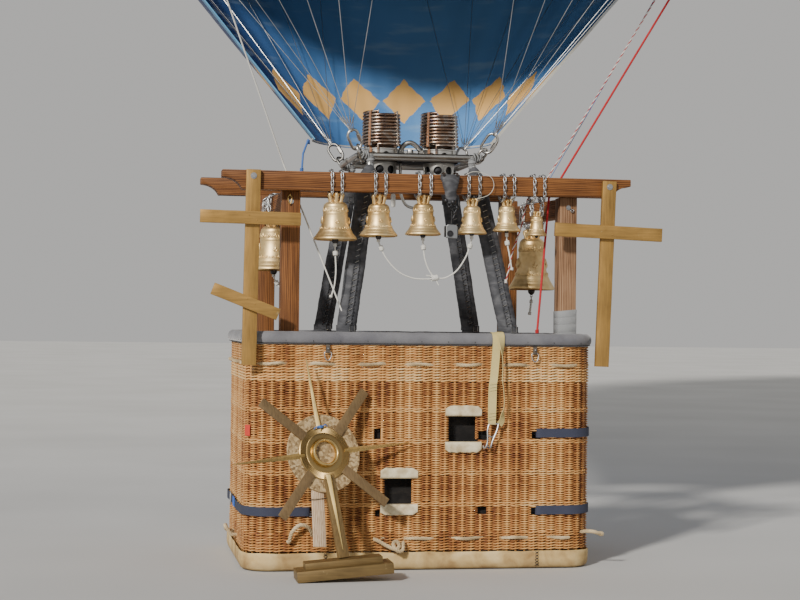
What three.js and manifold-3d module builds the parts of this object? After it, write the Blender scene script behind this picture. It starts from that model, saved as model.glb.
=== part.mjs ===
// Hot air balloon with a wicker basket, a twin burner and eight bells hung on a timber frame.
// Millimetres, +Z up, X along the basket's width, the front towards -Y.
// Heights are written from the ground, and the model is lowered so that its origin is the crown.

import * as THREE from 'three';
import { mergeVertices } from 'three/addons/utils/BufferGeometryUtils.js';
import Module from 'manifold-3d';

const wasm = await Module();
wasm.setup();

// Driving dimensions
const GAP = 0.3;                 // between faces that touch
const BASKET_W = 1710;
const BASKET_D = 1060;
const BASKET_R = 130;            // corner radius in plan
const WALL = 35;
const WICKER_BOTTOM = 14;
const WICKER_TOP = 1075;
const FLOOR_BOTTOM = 20;
const FLOOR_TOP = 45;
const SKIRT_TOP = 92;
const RIM_Z = 1108;              // middle of the padded roll
const RIM_HALF_H = 32;
const RIM_HALF_W = 26.5;
const RIM_OUT = -12.5;

const TIMBER = 90;               // square section of posts and beams
const POST_Y = 432;
const FRONT_BEAM_Z = 1810;       // underside
const REAR_BEAM_Z = 1850;
const SIDE_BEAM_Z = 1715;
const LONG_BEAM_Y = 497;

const BURNER_X = 20;             // the burners stand a little right of the basket's middle
const FRAME_Z = 2008;
const FRAME_HALF_X = 315;
const FRAME_HALF_Y = 320;
const FRAME_CORNER = 60;
const FRAME_TUBE = 14;
const GIMBAL_HALF_X = 272;
const GIMBAL_HALF_Y = 150;
const GIMBAL_TUBE = 10;
const GIMBAL_CORNER = 40;
const BURNER_SPACING = 300;
const CAN_R = 80;                // perforated can under each coil
const CAN_SIDES = 14;

const MOUTH_R = 2100;
const MOUTH_Z = 4050;
const MOUTH_ANGLE = 45;          // of the fabric from the vertical, in degrees
const FILL_CURVATURE = 0.00205;  // fabric curvature per metre of radius and of height
const GORES = 24;
const GORE_BULGE = 0.018;        // of the radius, midway between two load tapes
const SKIN = 10;
const ENVELOPE_ROWS = 14;
const VENT_R = 2200;
const VALVE_R = 2520;
const VALVE_DROP = 24;           // of the closed valve under the envelope's outer face
const CROWN_RING_R = 150;
const CROWN_Z = 19500;           // the origin: the top of the crown ring, to within 2 mm

const rad = THREE.MathUtils.degToRad;

// Materials
const paint = (color, roughness, metalness = 0) =>
    new THREE.MeshStandardMaterial({ color, roughness, metalness });
const FABRIC_BLUE = paint(0x2a5fae, 0.75);
const WICKER = paint(0xc98a4a, 0.7);
const RAWHIDE = paint(0xcdb487, 0.8);
const SUEDE = paint(0x6f7480, 0.9);
const SLEEVE = paint(0x2b2d33, 0.75);
const STAINED_WOOD = paint(0x7a4522, 0.6);
const GOLD_WOOD = paint(0xa98a3e, 0.5, 0.3);
const BRONZE = paint(0xb79a5a, 0.4, 0.9);
const DARK_IRON = paint(0x3a3836, 0.6, 0.8);
const STEEL = paint(0xb9bcc0, 0.3, 1);
const TAPE = paint(0x20242c, 0.8);
const PLYWOOD = paint(0xa9885a, 0.7);
const CYLINDER_JACKET = paint(0x30343c, 0.8);
const CORD_WHITE = paint(0xe8e6df, 0.8);

// Solids and meshes

/** Merges shared vertices, drops flat triangles and turns the faces outwards. */
function clean(geometry) {
    let g = geometry.clone();
    g.deleteAttribute('normal');
    g.deleteAttribute('uv');
    g = mergeVertices(g, 1e-3);
    const p = g.attributes.position;
    const kept = [];
    let volume = 0;
    const [a, b, c] = [new THREE.Vector3(), new THREE.Vector3(), new THREE.Vector3()];
    for (let t = 0; t < g.index.count; t += 3) {
        const [i, j, k] = [g.index.getX(t), g.index.getX(t + 1), g.index.getX(t + 2)];
        if (i === j || j === k || k === i) continue;
        kept.push(i, j, k);
        a.fromBufferAttribute(p, i);
        b.fromBufferAttribute(p, j);
        c.fromBufferAttribute(p, k);
        volume += a.dot(b.cross(c));
    }
    if (volume < 0) {
        for (let t = 0; t < kept.length; t += 3) {
            [kept[t + 1], kept[t + 2]] = [kept[t + 2], kept[t + 1]];
        }
    }
    g.setIndex(kept);
    return g;
}

function solid(geometry) {
    const g = clean(geometry);
    return new wasm.Manifold(new wasm.Mesh({
        numProp: 3,
        vertProperties: new Float32Array(g.attributes.position.array),
        triVerts: new Uint32Array(g.index.array),
    }));
}

function unsolid(body) {
    const m = body.getMesh();
    const g = new THREE.BufferGeometry();
    g.setAttribute('position', new THREE.BufferAttribute(Float32Array.from(m.vertProperties), 3));
    g.setIndex(Array.from(m.triVerts));
    return g;
}

function join(...geometries) {
    return unsolid(geometries.map(solid).reduce((sum, next) => sum.add(next)));
}

function cut(geometry, ...tools) {
    return unsolid(tools.map(solid).reduce((rest, tool) => rest.subtract(tool), solid(geometry)));
}

const balloon = new THREE.Group();
const ground = new THREE.Group();
balloon.add(ground);

/** Adds one named sub-part to the model, or to a nested group. */
function add(name, geometry, material, parent = ground) {
    const g = clean(geometry);
    g.computeVertexNormals();
    const mesh = new THREE.Mesh(g, material);
    mesh.name = name;
    parent.add(mesh);
    return mesh;
}

// Shapes that several pieces use

const point = (x, y, z) => new THREE.Vector3(x, y, z);
const box = (sx, sy, sz, x = 0, y = 0, z = 0) => new THREE.BoxGeometry(sx, sy, sz).translate(x, y, z);

/** Turns a profile of [radius, height] about the vertical axis. */
function turned(profile, segments) {
    const points = profile.map(([r, z]) => new THREE.Vector2(r, z));
    return new THREE.LatheGeometry(points, segments).rotateX(Math.PI / 2);
}

/** A straight round bar between two points. */
function bar(from, to, radius, sides) {
    const run = new THREE.Vector3().subVectors(to, from);
    const turn = new THREE.Quaternion().setFromUnitVectors(new THREE.Vector3(0, 1, 0), run.clone().normalize());
    const middle = new THREE.Vector3().addVectors(from, to).multiplyScalar(0.5);
    return new THREE.CylinderGeometry(radius, radius, run.length(), sides)
        .applyQuaternion(turn)
        .translate(middle.x, middle.y, middle.z);
}

/** Skins rings of equally many points; the first and last ring are capped or joined. */
function loft(rings, loop = false) {
    const n = rings[0].length;
    const points = rings.flat().map((p) => p.toArray()).flat();
    const faces = [];
    const last = loop ? rings.length : rings.length - 1;
    for (let i = 0; i < last; i += 1) {
        const [lower, upper] = [i * n, ((i + 1) % rings.length) * n];
        for (let j = 0; j < n; j += 1) {
            const k = (j + 1) % n;
            faces.push(lower + j, lower + k, upper + k, lower + j, upper + k, upper + j);
        }
    }
    if (!loop) {
        const top = (rings.length - 1) * n;
        for (let j = 1; j < n - 1; j += 1) {
            faces.push(0, j + 1, j);
            faces.push(top, top + j, top + j + 1);
        }
    }
    const g = new THREE.BufferGeometry();
    g.setAttribute('position', new THREE.Float32BufferAttribute(points, 3));
    g.setAttribute('normal', new THREE.Float32BufferAttribute(points, 3));
    g.setAttribute('uv', new THREE.Float32BufferAttribute(points, 3));
    g.setIndex(faces);
    return g;
}

/** Sweeps a section of [outset, height] round a rectangle with round corners. */
function around(halfX, halfY, radius, section, steps = 4) {
    const rings = [];
    for (const [sx, sy, start] of [[1, -1, -90], [1, 1, 0], [-1, 1, 90], [-1, -1, 180]]) {
        for (let i = 0; i <= steps; i += 1) {
            const a = rad(start + (90 * i) / steps);
            rings.push(section.map(([out, z]) => new THREE.Vector3(
                sx * (halfX - radius) + (radius + out) * Math.cos(a),
                sy * (halfY - radius) + (radius + out) * Math.sin(a),
                z,
            )));
        }
    }
    return loft(rings, true);
}

const aroundBasket = (section, steps) => around(BASKET_W / 2, BASKET_D / 2, BASKET_R, section, steps);

/** A round section of [across, up] for a bar or a roll. */
function oval(halfW, halfH, sides, across = 0, up = 0) {
    return Array.from({ length: sides }, (_, i) => {
        const a = (2 * Math.PI * (i + 0.5)) / sides;
        return [across + halfW * Math.cos(a), up + halfH * Math.sin(a)];
    });
}

/** A tube of round section along a smooth curve through the points. */
function tube(points, radius, sides, steps) {
    const outline = new THREE.Shape(oval(radius, radius, sides).map(([x, y]) => new THREE.Vector2(x, y)));
    const path = new THREE.CatmullRomCurve3(points.map((p) => new THREE.Vector3(...p)));
    return new THREE.ExtrudeGeometry(outline, { steps, bevelEnabled: false, extrudePath: path });
}

// Envelope: load tapes follow the natural shape, in which the fabric's curvature grows with
// its radius and its height over the mouth

/** Points of the outer skin from the mouth to the axis: radius, height and slope. */
function naturalShape() {
    const step = 20;
    const points = [];
    let [r, z, slope] = [MOUTH_R, MOUTH_Z, rad(MOUTH_ANGLE)];
    while (r > step && slope > -Math.PI / 2) {
        points.push({ r, z, slope });
        slope -= FILL_CURVATURE * (r / 1000) * ((z - MOUTH_Z) / 1000) * (step / 1000);
        r += step * Math.sin(slope);
        z += step * Math.cos(slope);
    }
    return points;
}

const shape = naturalShape();
const ventIndex = shape.findIndex((p) => p.slope < 0 && p.r <= VENT_R);
const rows = Array.from({ length: ENVELOPE_ROWS + 1 }, (_, i) => shape[Math.round((ventIndex * i) / ENVELOPE_ROWS)]);

/** Height of the skin's outer face over the top, at a distance from the axis. */
function crownHeight(radius) {
    const edge = rows[rows.length - 1];
    if (radius >= edge.r) {
        const below = rows[rows.length - 2];
        return edge.z - ((edge.z - below.z) * (radius - edge.r)) / (below.r - edge.r);
    }
    const at = shape.findIndex((p) => p.slope < 0 && p.r <= radius);
    return at < 0 ? shape[shape.length - 1].z : shape[at].z;
}

function goreRing(radius, z) {
    return Array.from({ length: 2 * GORES }, (_, i) => {
        const a = (Math.PI * (i + 1)) / GORES;
        const r = radius * (i % 2 ? 1 + GORE_BULGE : 1);
        return new THREE.Vector3(r * Math.cos(a), r * Math.sin(a), z);
    });
}

const inward = (p, depth) => [p.r - depth * Math.cos(p.slope), p.z + depth * Math.sin(p.slope)];
const outerRings = rows.map((p) => goreRing(p.r, p.z));
const innerRings = rows.map((p) => goreRing(...inward(p, SKIN))).reverse();
add('envelope', loft([...outerRings, ...innerRings], true), FABRIC_BLUE);

// Crown: a ring on the axis, and a load tape from it over the vent to each gore seam
const TAPE_W = 30;
const TAPE_T = 4;
const TAPE_LIFT = 2;
const tapeStations = [CROWN_RING_R - 6, 1400, rows[ENVELOPE_ROWS].r, rows[ENVELOPE_ROWS].r + 60];
const tapeStrip = loft(tapeStations.map((r) => {
    const z = crownHeight(r) + TAPE_LIFT;
    return [[-1, 0], [1, 0], [1, TAPE_T], [-1, TAPE_T]].map(([side, up]) => (
        new THREE.Vector3(r, (side * TAPE_W) / 2, z + up)));
}));
const crownZ = crownHeight(CROWN_RING_R) + TAPE_LIFT;
const crownHoop = turned(
    [[CROWN_RING_R - 12, crownZ - 5], [CROWN_RING_R, crownZ - 5], [CROWN_RING_R, crownZ + 9],
        [CROWN_RING_R - 12, crownZ + 9], [CROWN_RING_R - 12, crownZ - 5]], GORES);
const tapes = Array.from({ length: GORES }, (_, i) => (
    tapeStrip.clone().rotateZ((2 * Math.PI * (i + 0.5)) / GORES)));
add('crown_ring', join(crownHoop, ...tapes), TAPE);

// Parachute valve: a fabric disc that closes the vent from inside and slides down to open it
const valveTop = [0, 1200, 2150, VALVE_R].map((r) => [r, crownHeight(r) - VALVE_DROP]);
const valveFace = [...valveTop, ...valveTop.map(([r, z]) => [r, z - SKIN]).reverse()];
add('parachute_valve', turned(valveFace, GORES), FABRIC_BLUE);

// Scoop: a curved sheet from the rear half of the mouth down to the burners
const SCOOP_LOW_Z = 2125;
const SCOOP_LOW_A = 470;         // half width of its lower hem
const SCOOP_LOW_B = 440;
const SCOOP_LOW_X = 8;
const SCOOP_LOW_Y = 150;
const SCOOP_SPAN = 184;          // degrees about the axis
const SCOOP_STEPS = 16;
const SCOOP_ROWS = 4;
const scoopRing = (t) => {
    const outer = [];
    const inner = [];
    for (let i = 0; i <= SCOOP_STEPS; i += 1) {
        const a = rad(90 - SCOOP_SPAN / 2 + (SCOOP_SPAN * i) / SCOOP_STEPS);
        const low = [SCOOP_LOW_X + SCOOP_LOW_A * Math.cos(a), SCOOP_LOW_Y + SCOOP_LOW_B * Math.sin(a)];
        const high = [MOUTH_R * Math.cos(a), MOUTH_R * Math.sin(a)];
        const z = SCOOP_LOW_Z + (MOUTH_Z - 2 - SCOOP_LOW_Z) * t;
        const at = [low[0] + (high[0] - low[0]) * t, low[1] + (high[1] - low[1]) * t];
        outer.push(new THREE.Vector3(at[0], at[1], z));
        inner.push(new THREE.Vector3(at[0] - SKIN * Math.cos(a), at[1] - SKIN * Math.sin(a), z));
    }
    return [...outer, ...inner.reverse()];
};
function scoopBody() {
    const rings = Array.from({ length: SCOOP_ROWS + 1 }, (_, i) => scoopRing(i / SCOOP_ROWS));
    const n = SCOOP_STEPS + 1;
    const g = loft(rings);
    const index = Array.from(g.index.array).slice(0, SCOOP_ROWS * 2 * n * 6);
    const top = SCOOP_ROWS * 2 * n;
    for (let i = 0; i < SCOOP_STEPS; i += 1) {
        const [a, b, c, d] = [i, i + 1, 2 * n - 2 - i, 2 * n - 1 - i];
        index.push(a, c, b, a, d, c);
        index.push(top + a, top + b, top + c, top + a, top + c, top + d);
    }
    g.setIndex(index);
    return g;
}
add('scoop', scoopBody(), FABRIC_BLUE);

// Flying wires: at each corner of the burner frame a link and a karabiner hold six wires
const WIRE_R = 3;
const LINK_LEAN = new THREE.Vector3(0.44, 0.44, 0.78).normalize();
const WIRES_PER_CORNER = GORES / 4;
const WIRE_TOP_R = MOUTH_R - 40;
const WIRE_TOP_Z = MOUTH_Z - 6;
const CORNERS = [
    // name, side in X, side in Y
    ['fl', -1, -1],
    ['fr', 1, -1],
    ['rl', -1, 1],
    ['rr', 1, 1],
];

/** A round-section link about the origin, long in Z, its plane square to Y. */
const chainLink = (width, length, wire, segments) => (
    new THREE.TorusGeometry(width / 2, wire, 5, segments).scale(1, length / width, 1).rotateX(Math.PI / 2));

for (const [name, sx, sy] of CORNERS) {
    const out = new THREE.Vector3(sx * LINK_LEAN.x, sy * LINK_LEAN.y, LINK_LEAN.z);
    const inset = FRAME_CORNER * (1 - Math.SQRT1_2);
    const seat = new THREE.Vector3(
        BURNER_X + sx * (FRAME_HALF_X - inset), sy * (FRAME_HALF_Y - inset), FRAME_Z);
    const lean = Math.acos(out.z);
    const heading = Math.atan2(out.y, out.x);
    const place = (g, twist, along) => g.rotateZ(twist).rotateY(lean).rotateZ(heading)
        .translate(seat.x + out.x * along, seat.y + out.y * along, seat.z + out.z * along);
    const link = place(chainLink(46, 78, 5, 12), 0, 12);
    const karabiner = place(chainLink(50, 100, 6, 12), Math.PI / 2, 91);
    const knot = new THREE.Vector3().copy(seat).addScaledVector(out, 138);
    const wires = Array.from({ length: WIRES_PER_CORNER }, (_, i) => {
        const a = Math.atan2(sy, sx) + rad((360 / GORES) * (i - (WIRES_PER_CORNER - 1) / 2));
        const top = new THREE.Vector3(WIRE_TOP_R * Math.cos(a), WIRE_TOP_R * Math.sin(a), WIRE_TOP_Z);
        return bar(knot, top, WIRE_R, 5);
    });
    const eye = new THREE.SphereGeometry(11, 8, 6).translate(knot.x, knot.y, knot.z);
    add(`flying_wires_${name}`, join(link, karabiner, eye, ...wires), STEEL);
}

// Burner frame, gimbal and block
const burnerDeck = new THREE.Group();
burnerDeck.position.set(BURNER_X, 0, FRAME_Z);
ground.add(burnerDeck);
add('burner_frame', around(FRAME_HALF_X, FRAME_HALF_Y, FRAME_CORNER, oval(FRAME_TUBE, FRAME_TUBE, 8)),
    STEEL, burnerDeck);

const PIN_R = 7;
const PIN_GAP = 1;
const gimbalPins = [-1, 1].map((s) => (
    bar(point(s * GIMBAL_HALF_X, 0, 0), point(s * (FRAME_HALF_X - FRAME_TUBE - PIN_GAP), 0, 0), PIN_R, 8)));
add('gimbal', join(around(GIMBAL_HALF_X, GIMBAL_HALF_Y, GIMBAL_CORNER, oval(GIMBAL_TUBE, GIMBAL_TUBE, 8), 3), ...gimbalPins),
    STEEL, burnerDeck);

const BLOCK_T = 14;
const BLOCK_W = 476;
const BLOCK_D = 184;
const blockPlate = box(BLOCK_W, BLOCK_D, BLOCK_T);
const blockPins = [-1, 1].map((s) => (
    bar(point(0, s * (BLOCK_D / 2 - PIN_R), 0), point(0, s * (GIMBAL_HALF_Y - GIMBAL_TUBE - PIN_GAP), 0), PIN_R, 8)));
const canHoles = [-1, 1].map((s) => (
    new THREE.CylinderGeometry(CAN_R + GAP, CAN_R + GAP, 4 * BLOCK_T, CAN_SIDES)
        .rotateX(Math.PI / 2).translate((s * BURNER_SPACING) / 2, 0, 0)));
add('burner_block', cut(join(blockPlate, ...blockPins), ...canHoles), STEEL, burnerDeck);

// Burners: a flat-bottomed can, and over it a can wound of ten turns of fuel tube
const CAN_LOW = -126;
const COIL_LOW = 73;
const COIL_TURNS = 10;
const COIL_PITCH = 17.3;
const COIL_R = 103;
const COIL_TOP_R = 97;
const COIL_WIRE = 6;
function burnerProfile() {
    const outer = [[0, CAN_LOW], [CAN_R, CAN_LOW], [CAN_R, COIL_LOW - 12]];
    for (let i = 0; i < COIL_TURNS; i += 1) {
        const r = COIL_R + ((COIL_TOP_R - COIL_R) * i) / (COIL_TURNS - 1);
        const z = COIL_LOW + i * COIL_PITCH;
        outer.push([r - 6, z - 1], [r, z + 4], [r, z + COIL_PITCH - 7]);
    }
    const top = COIL_LOW + COIL_TURNS * COIL_PITCH;
    const inner = [[COIL_TOP_R - 6, top - 3], [COIL_TOP_R - 2 * COIL_WIRE, top - 3], [COIL_R - 2 * COIL_WIRE, COIL_LOW],
        [CAN_R - 5, COIL_LOW - 14], [CAN_R - 5, CAN_LOW + 8], [0, CAN_LOW + 8]];
    return [...outer, ...inner];
}
for (const [name, s] of [['left', -1], ['right', 1]]) {
    const burner = turned(burnerProfile(), CAN_SIDES).translate((s * BURNER_SPACING) / 2, 0, 0);
    add(`burner_${name}`, burner, STEEL, burnerDeck);
}

// Padded uprights from the basket's rim to the corners of the burner frame
const SLEEVE_HALF_W = 50;
const SLEEVE_HALF_D = 38;
const UPRIGHT_FOOT = [-367, 447];          // X at the left and at the right
const UPRIGHT_FOOT_Y = 442;
const UPRIGHT_LOW_Z = 820;
const UPRIGHT_BEND_Z = 1120;               // upright in the basket, leaning in above it
const UPRIGHT_STATIONS = [
    // share of the height over the bend, half width, half depth
    [0, SLEEVE_HALF_W, SLEEVE_HALF_D],
    [0.9, SLEEVE_HALF_W, SLEEVE_HALF_D],
    [0.95, 30, 26],
    [0.955, 13, 13],
    [1, 13, 13],
];
for (const [name, sx, sy] of CORNERS) {
    const foot = point(UPRIGHT_FOOT[sx < 0 ? 0 : 1], sy * UPRIGHT_FOOT_Y, UPRIGHT_BEND_Z);
    const head = point(BURNER_X + sx * (FRAME_HALF_X - FRAME_CORNER), sy * FRAME_HALF_Y, FRAME_Z - FRAME_TUBE - 1);
    const rings = UPRIGHT_STATIONS.map(([t, halfW, halfD]) => (
        oval(halfW, halfD, 10).map(([x, y]) => (
            point(foot.x + (head.x - foot.x) * t + x, foot.y + (head.y - foot.y) * t + y, foot.z + (head.z - foot.z) * t)))));
    const low = rings[0].map((p) => point(p.x, p.y, UPRIGHT_LOW_Z));
    add(`upright_${name}`, loft([low, ...rings]), SLEEVE);
}

// Timber frame: four posts in the basket, two long beams on them and a side beam between each pair
const POSTS = [
    // name, X, Y, underside of the beam on it
    ['fl', -640, -POST_Y, FRONT_BEAM_Z],
    ['fr', 728, -POST_Y, FRONT_BEAM_Z],
    ['rl', -671, POST_Y, REAR_BEAM_Z],
    ['rr', 640, POST_Y, REAR_BEAM_Z],
];
const postAt = {};
for (const [name, x, y, top] of POSTS) {
    const low = FLOOR_TOP + GAP;
    const high = top - GAP;
    add(`post_${name}`, box(TIMBER, TIMBER, high - low, x, y, (high + low) / 2), STAINED_WOOD);
    postAt[name] = x;
}

/** A beam along X whose ends are hollowed from below, leaving a thin tip. */
function longBeam(x0, x1, y, z) {
    const tip = 34;
    const run = 95;
    const s = new THREE.Shape();
    s.moveTo(x0, z + TIMBER);
    s.lineTo(x0, z + TIMBER - tip);
    s.quadraticCurveTo(x0 + 0.75 * run, z + TIMBER - tip - 4, x0 + run, z);
    s.lineTo(x1 - run, z);
    s.quadraticCurveTo(x1 - 0.75 * run, z + TIMBER - tip - 4, x1, z + TIMBER - tip);
    s.lineTo(x1, z + TIMBER);
    return new THREE.ExtrudeGeometry(s, { depth: TIMBER, bevelEnabled: false, curveSegments: 5 })
        .rotateX(Math.PI / 2)
        .translate(0, y + TIMBER / 2, 0);
}
add('beam_front', longBeam(-975, 1026, -LONG_BEAM_Y, FRONT_BEAM_Z), STAINED_WOOD);
add('beam_rear', longBeam(-1016, 740, LONG_BEAM_Y, REAR_BEAM_Z), STAINED_WOOD);

for (const [name, front, rear] of [['left', 'fl', 'rl'], ['right', 'fr', 'rr']]) {
    const reach = POST_Y - TIMBER / 2 - GAP;
    const rings = [[-reach, postAt[front]], [reach, postAt[rear]]].map(([y, x]) => (
        [[-1, 0], [1, 0], [1, 1], [-1, 1]].map(([side, up]) => (
            point(x + (side * TIMBER) / 2, y, SIDE_BEAM_Z + up * TIMBER)))));
    add(`beam_${name}`, loft(rings), STAINED_WOOD);
}

// Crosses: gilt boards hung by a bolt on the front beam, leaning out over the rim
const BOARD_T = 22;
const CROSS_LEAN = 0.2;          // degrees, the lower ends outwards, past the padded rim
const CROSS_OFF = 1.8;           // from the beam's face, at the bolt
const BAR_SUNK = 0.5;            // each bar into the upright's face
const BOLT_HEAD = 8;
const CROSSES = [
    // name, bolt X and Z, turn, upright [half width, up, down], bars [centre X, centre Z, half length, half width, turn]
    ['left', -829, 1871, 0.8, [35, 30, 893], [[-10, -199, 237, 31, 0], [-24, -594, 166, 29, 20.4]]],
    ['right', 911, 1860, 2, [35, 29, 878], [[0, -222, 270, 33, 0]]],
];
const beamFace = -LONG_BEAM_Y - TIMBER / 2;
for (const [name, x, z, turn, [halfW, up, down], bars] of CROSSES) {
    const upright = box(2 * halfW, BOARD_T, up + down, 0, 0, (up - down) / 2);
    const boards = bars.map(([bx, bz, halfL, halfH, tilt]) => (
        box(2 * halfL, BOARD_T, 2 * halfH).rotateY(rad(tilt)).translate(bx, BAR_SUNK - BOARD_T, bz)));
    const bolt = bar(point(0, 0, 0), point(0, -BOARD_T / 2 - BOLT_HEAD, 0), 11, 8);
    const cross = join(upright, ...boards, bolt)
        .rotateY(rad(turn)).rotateX(-rad(CROSS_LEAN))
        .translate(x, beamFace - BOARD_T / 2 - CROSS_OFF, z);
    add(`cross_${name}`, cross, GOLD_WOOD);
}

// Bells: a turned bell with canons, hung on its beam by two chains
const BELL_SHAPE = [
    // share of the mouth radius, share of the height from mouth to shoulder
    [0.93, 0], [1, 0.02], [0.985, 0.07], [0.84, 0.18], [0.68, 0.35], [0.59, 0.6], [0.55, 0.93], [0.47, 1],
];
const BELL_TOP = 0.06;           // rise of the head over the shoulder, as a share of the height
const BELL_WALL = 0.085;         // of the mouth radius
const BELLS = [
    // name, X, Y, mouth diameter, mouth Z, shoulder Z, crown Z, beam underside, beam Y, chain spread
    ['1', -429, -LONG_BEAM_Y, 208, 1577, 1753, 1800, FRONT_BEAM_Z, 24],
    ['2', -219, -LONG_BEAM_Y, 183, 1598, 1750, 1798, FRONT_BEAM_Z, 25],
    ['3', -2, -LONG_BEAM_Y, 173, 1609, 1757, 1801, FRONT_BEAM_Z, 28],
    ['4', 239, -LONG_BEAM_Y, 146, 1619, 1751, 1790, FRONT_BEAM_Z, 27],
    ['5', 413, -LONG_BEAM_Y, 135, 1635, 1757, 1789, FRONT_BEAM_Z, 24],
    ['6', 563, -LONG_BEAM_Y, 100, 1617, 1711, 1734, FRONT_BEAM_Z, 25],
    ['left', -660, 120, 246, 1444, 1662, 1702, SIDE_BEAM_Z, 30],
    ['right', 679, 50, 236, 1363, 1622, 1668, SIDE_BEAM_Z, 30],
];
const CHAIN_R = 6;

function bellBody(radius, height, segments) {
    const outer = BELL_SHAPE.map(([r, z]) => [r * radius, z * height]);
    const inner = BELL_SHAPE.slice(1).map(([r, z]) => [
        Math.max(r - BELL_WALL - (z > 0.9 ? 0.05 : 0), 0.12) * radius, z > 0.9 ? (z - 0.06) * height : z * height]);
    return turned([...outer, [0.2 * radius, (1 + BELL_TOP) * height], [0, (1 + BELL_TOP) * height],
        [0, 0.94 * height], ...inner.reverse().slice(1), [0.93 * radius, 0]], segments);
}

/** A round tube with square mitres along points [across, z] in the upright plane at a given X. */
function mitredTube(points, x, radius, sides) {
    const flat = points.map(([y, z]) => new THREE.Vector2(y, z));
    const rings = flat.map((p, i) => {
        const before = (i > 0 ? p.clone().sub(flat[i - 1]) : flat[1].clone().sub(p)).normalize();
        const after = (i < flat.length - 1 ? flat[i + 1].clone().sub(p) : before.clone()).normalize();
        const along = before.clone().add(after).normalize();
        const stretch = 1 / Math.max(along.dot(before), 0.5);
        return oval(radius, radius, sides).map(([a, b]) => (
            point(x + a, p.x - along.y * b * stretch, p.y + along.x * b * stretch)));
    });
    return loft(rings);
}

/** One chain from the bell's crown round the beam and back; the bell hangs at the origin of Y. */
function chainLoop(x, crownZ, beamZ) {
    const side = TIMBER / 2 + CHAIN_R + 6;
    const over = beamZ + TIMBER + CHAIN_R + 1;
    const under = beamZ - 10;
    const hook = Math.min(crownZ - 9, under);
    return mitredTube([[-4, hook], [-side, under], [-side, over], [side, over], [side, under], [4, hook]],
        x, CHAIN_R, 4);
}

for (const [name, x, y, mouth, mouthZ, shoulderZ, crownZ, beamZ, spread] of BELLS) {
    const radius = mouth / 2;
    const height = shoulderZ - mouthZ;
    const headZ = height * (1 + BELL_TOP);
    const canonH = crownZ - mouthZ - headZ + 4;
    const canon = box(2 * spread + 2 * CHAIN_R + 4, 0.26 * radius, canonH, 0, 0, headZ - 4 + canonH / 2);
    const chains = [-1, 1].map((s) => chainLoop(s * spread, crownZ - mouthZ, beamZ - mouthZ));
    const bell = join(bellBody(radius, height, 16), canon, ...chains);
    if (beamZ === SIDE_BEAM_Z) bell.rotateZ(Math.PI / 2);
    add(`bell_${name}`, bell.translate(x, y, mouthZ), BRONZE);
}

// Clappers: an iron rod and ball on a pin under each bell's head, its tail below the mouth
const CLAPPERS = [
    // bell, pivot Z, ball radius, height of the ball's middle over the mouth, tail under the mouth
    ['1', 1734, 16, 8, 16],
    ['2', 1736, 14, 8, 12],
    ['3', 1736, 13, 7, 12],
    ['4', 1736, 11, 6, 10],
    ['5', 1738, 10, 6, 10],
    ['6', 1698, 8, 5, 8],
    ['left', 1636, 18, 10, 18],
    ['right', 1594, 18, 8, 20],
];
const bellOf = Object.fromEntries(BELLS.map(([name, x, y, , mouthZ]) => [name, { x, y, mouthZ }]));
for (const [name, pivotZ, ball, rise, tail] of CLAPPERS) {
    const { x, y, mouthZ } = bellOf[name];
    const length = pivotZ - mouthZ;
    const profile = [[0, length], [3.5, length], [4.5, rise + 2 * ball], [0.75 * ball, rise + 0.7 * ball], [ball, rise],
        [0.75 * ball, rise - 0.7 * ball], [4, -0.3 * tail], [4.5, -tail], [0, -tail]];
    add(`clapper_${name}`, turned(profile, 8).translate(x, y, mouthZ), DARK_IRON);
}

// Pull cords: from the tails of the clappers; the middle three meet in one knot
const CORD_R = 3.5;
const CORD_SIDES = 8;
const CORD_STEP = 22;
const TRIO_KNOT = [58, -492, 1404];
const PULL_CORDS = [
    // name, points from the clapper's tail
    ['pull_cord_1', [[-429, -497, 1560.6], [-427, -497, 1500], [-424, -496, 1430], [-430, -496, 1360], [-446, -495, 1305]]],
    ['pull_cord_2', [[-219, -497, 1585.6], [-213, -497, 1560], [-180, -496, 1495], [-120, -495, 1432], [-50, -493, 1402],
        [20, -492, 1398], [44, -492, 1401]]],
    ['pull_cord_3', [[-2, -497, 1596.6], [0, -497, 1560], [8, -497, 1500], [26, -494, 1450], [52, -492, 1410]]],
    ['pull_cord_4', [[239, -497, 1608.6], [236, -497, 1580], [212, -496, 1510], [166, -495, 1440], [112, -493, 1406],
        [72, -492, 1402]]],
    ['pull_cord_5', [[413, -497, 1624.6], [416, -497, 1580], [428, -499, 1520], [441, -496, 1450]]],
    ['pull_cord_left', [[-660, 120, 1425.6], [-655, 118, 1400], [-630, 110, 1360], [-600, 100, 1330], [-575, 92, 1290]]],
];
const CORD_LEAD = 12;            // straight down out of the clapper's tail
const knot = new THREE.SphereGeometry(13, 8, 6).scale(1, 0.7, 0.8).translate(...TRIO_KNOT);
for (const [name, [start, ...rest]] of PULL_CORDS) {
    const points = [start, [start[0], start[1], start[2] - CORD_LEAD], ...rest];
    const curve = new THREE.CatmullRomCurve3(points.map((p) => point(...p)));
    const cord = tube(points, CORD_R, CORD_SIDES, Math.round(curve.getLength() / CORD_STEP));
    add(name, name === 'pull_cord_3' ? join(cord, knot) : cord, CORD_WHITE);
}

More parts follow.
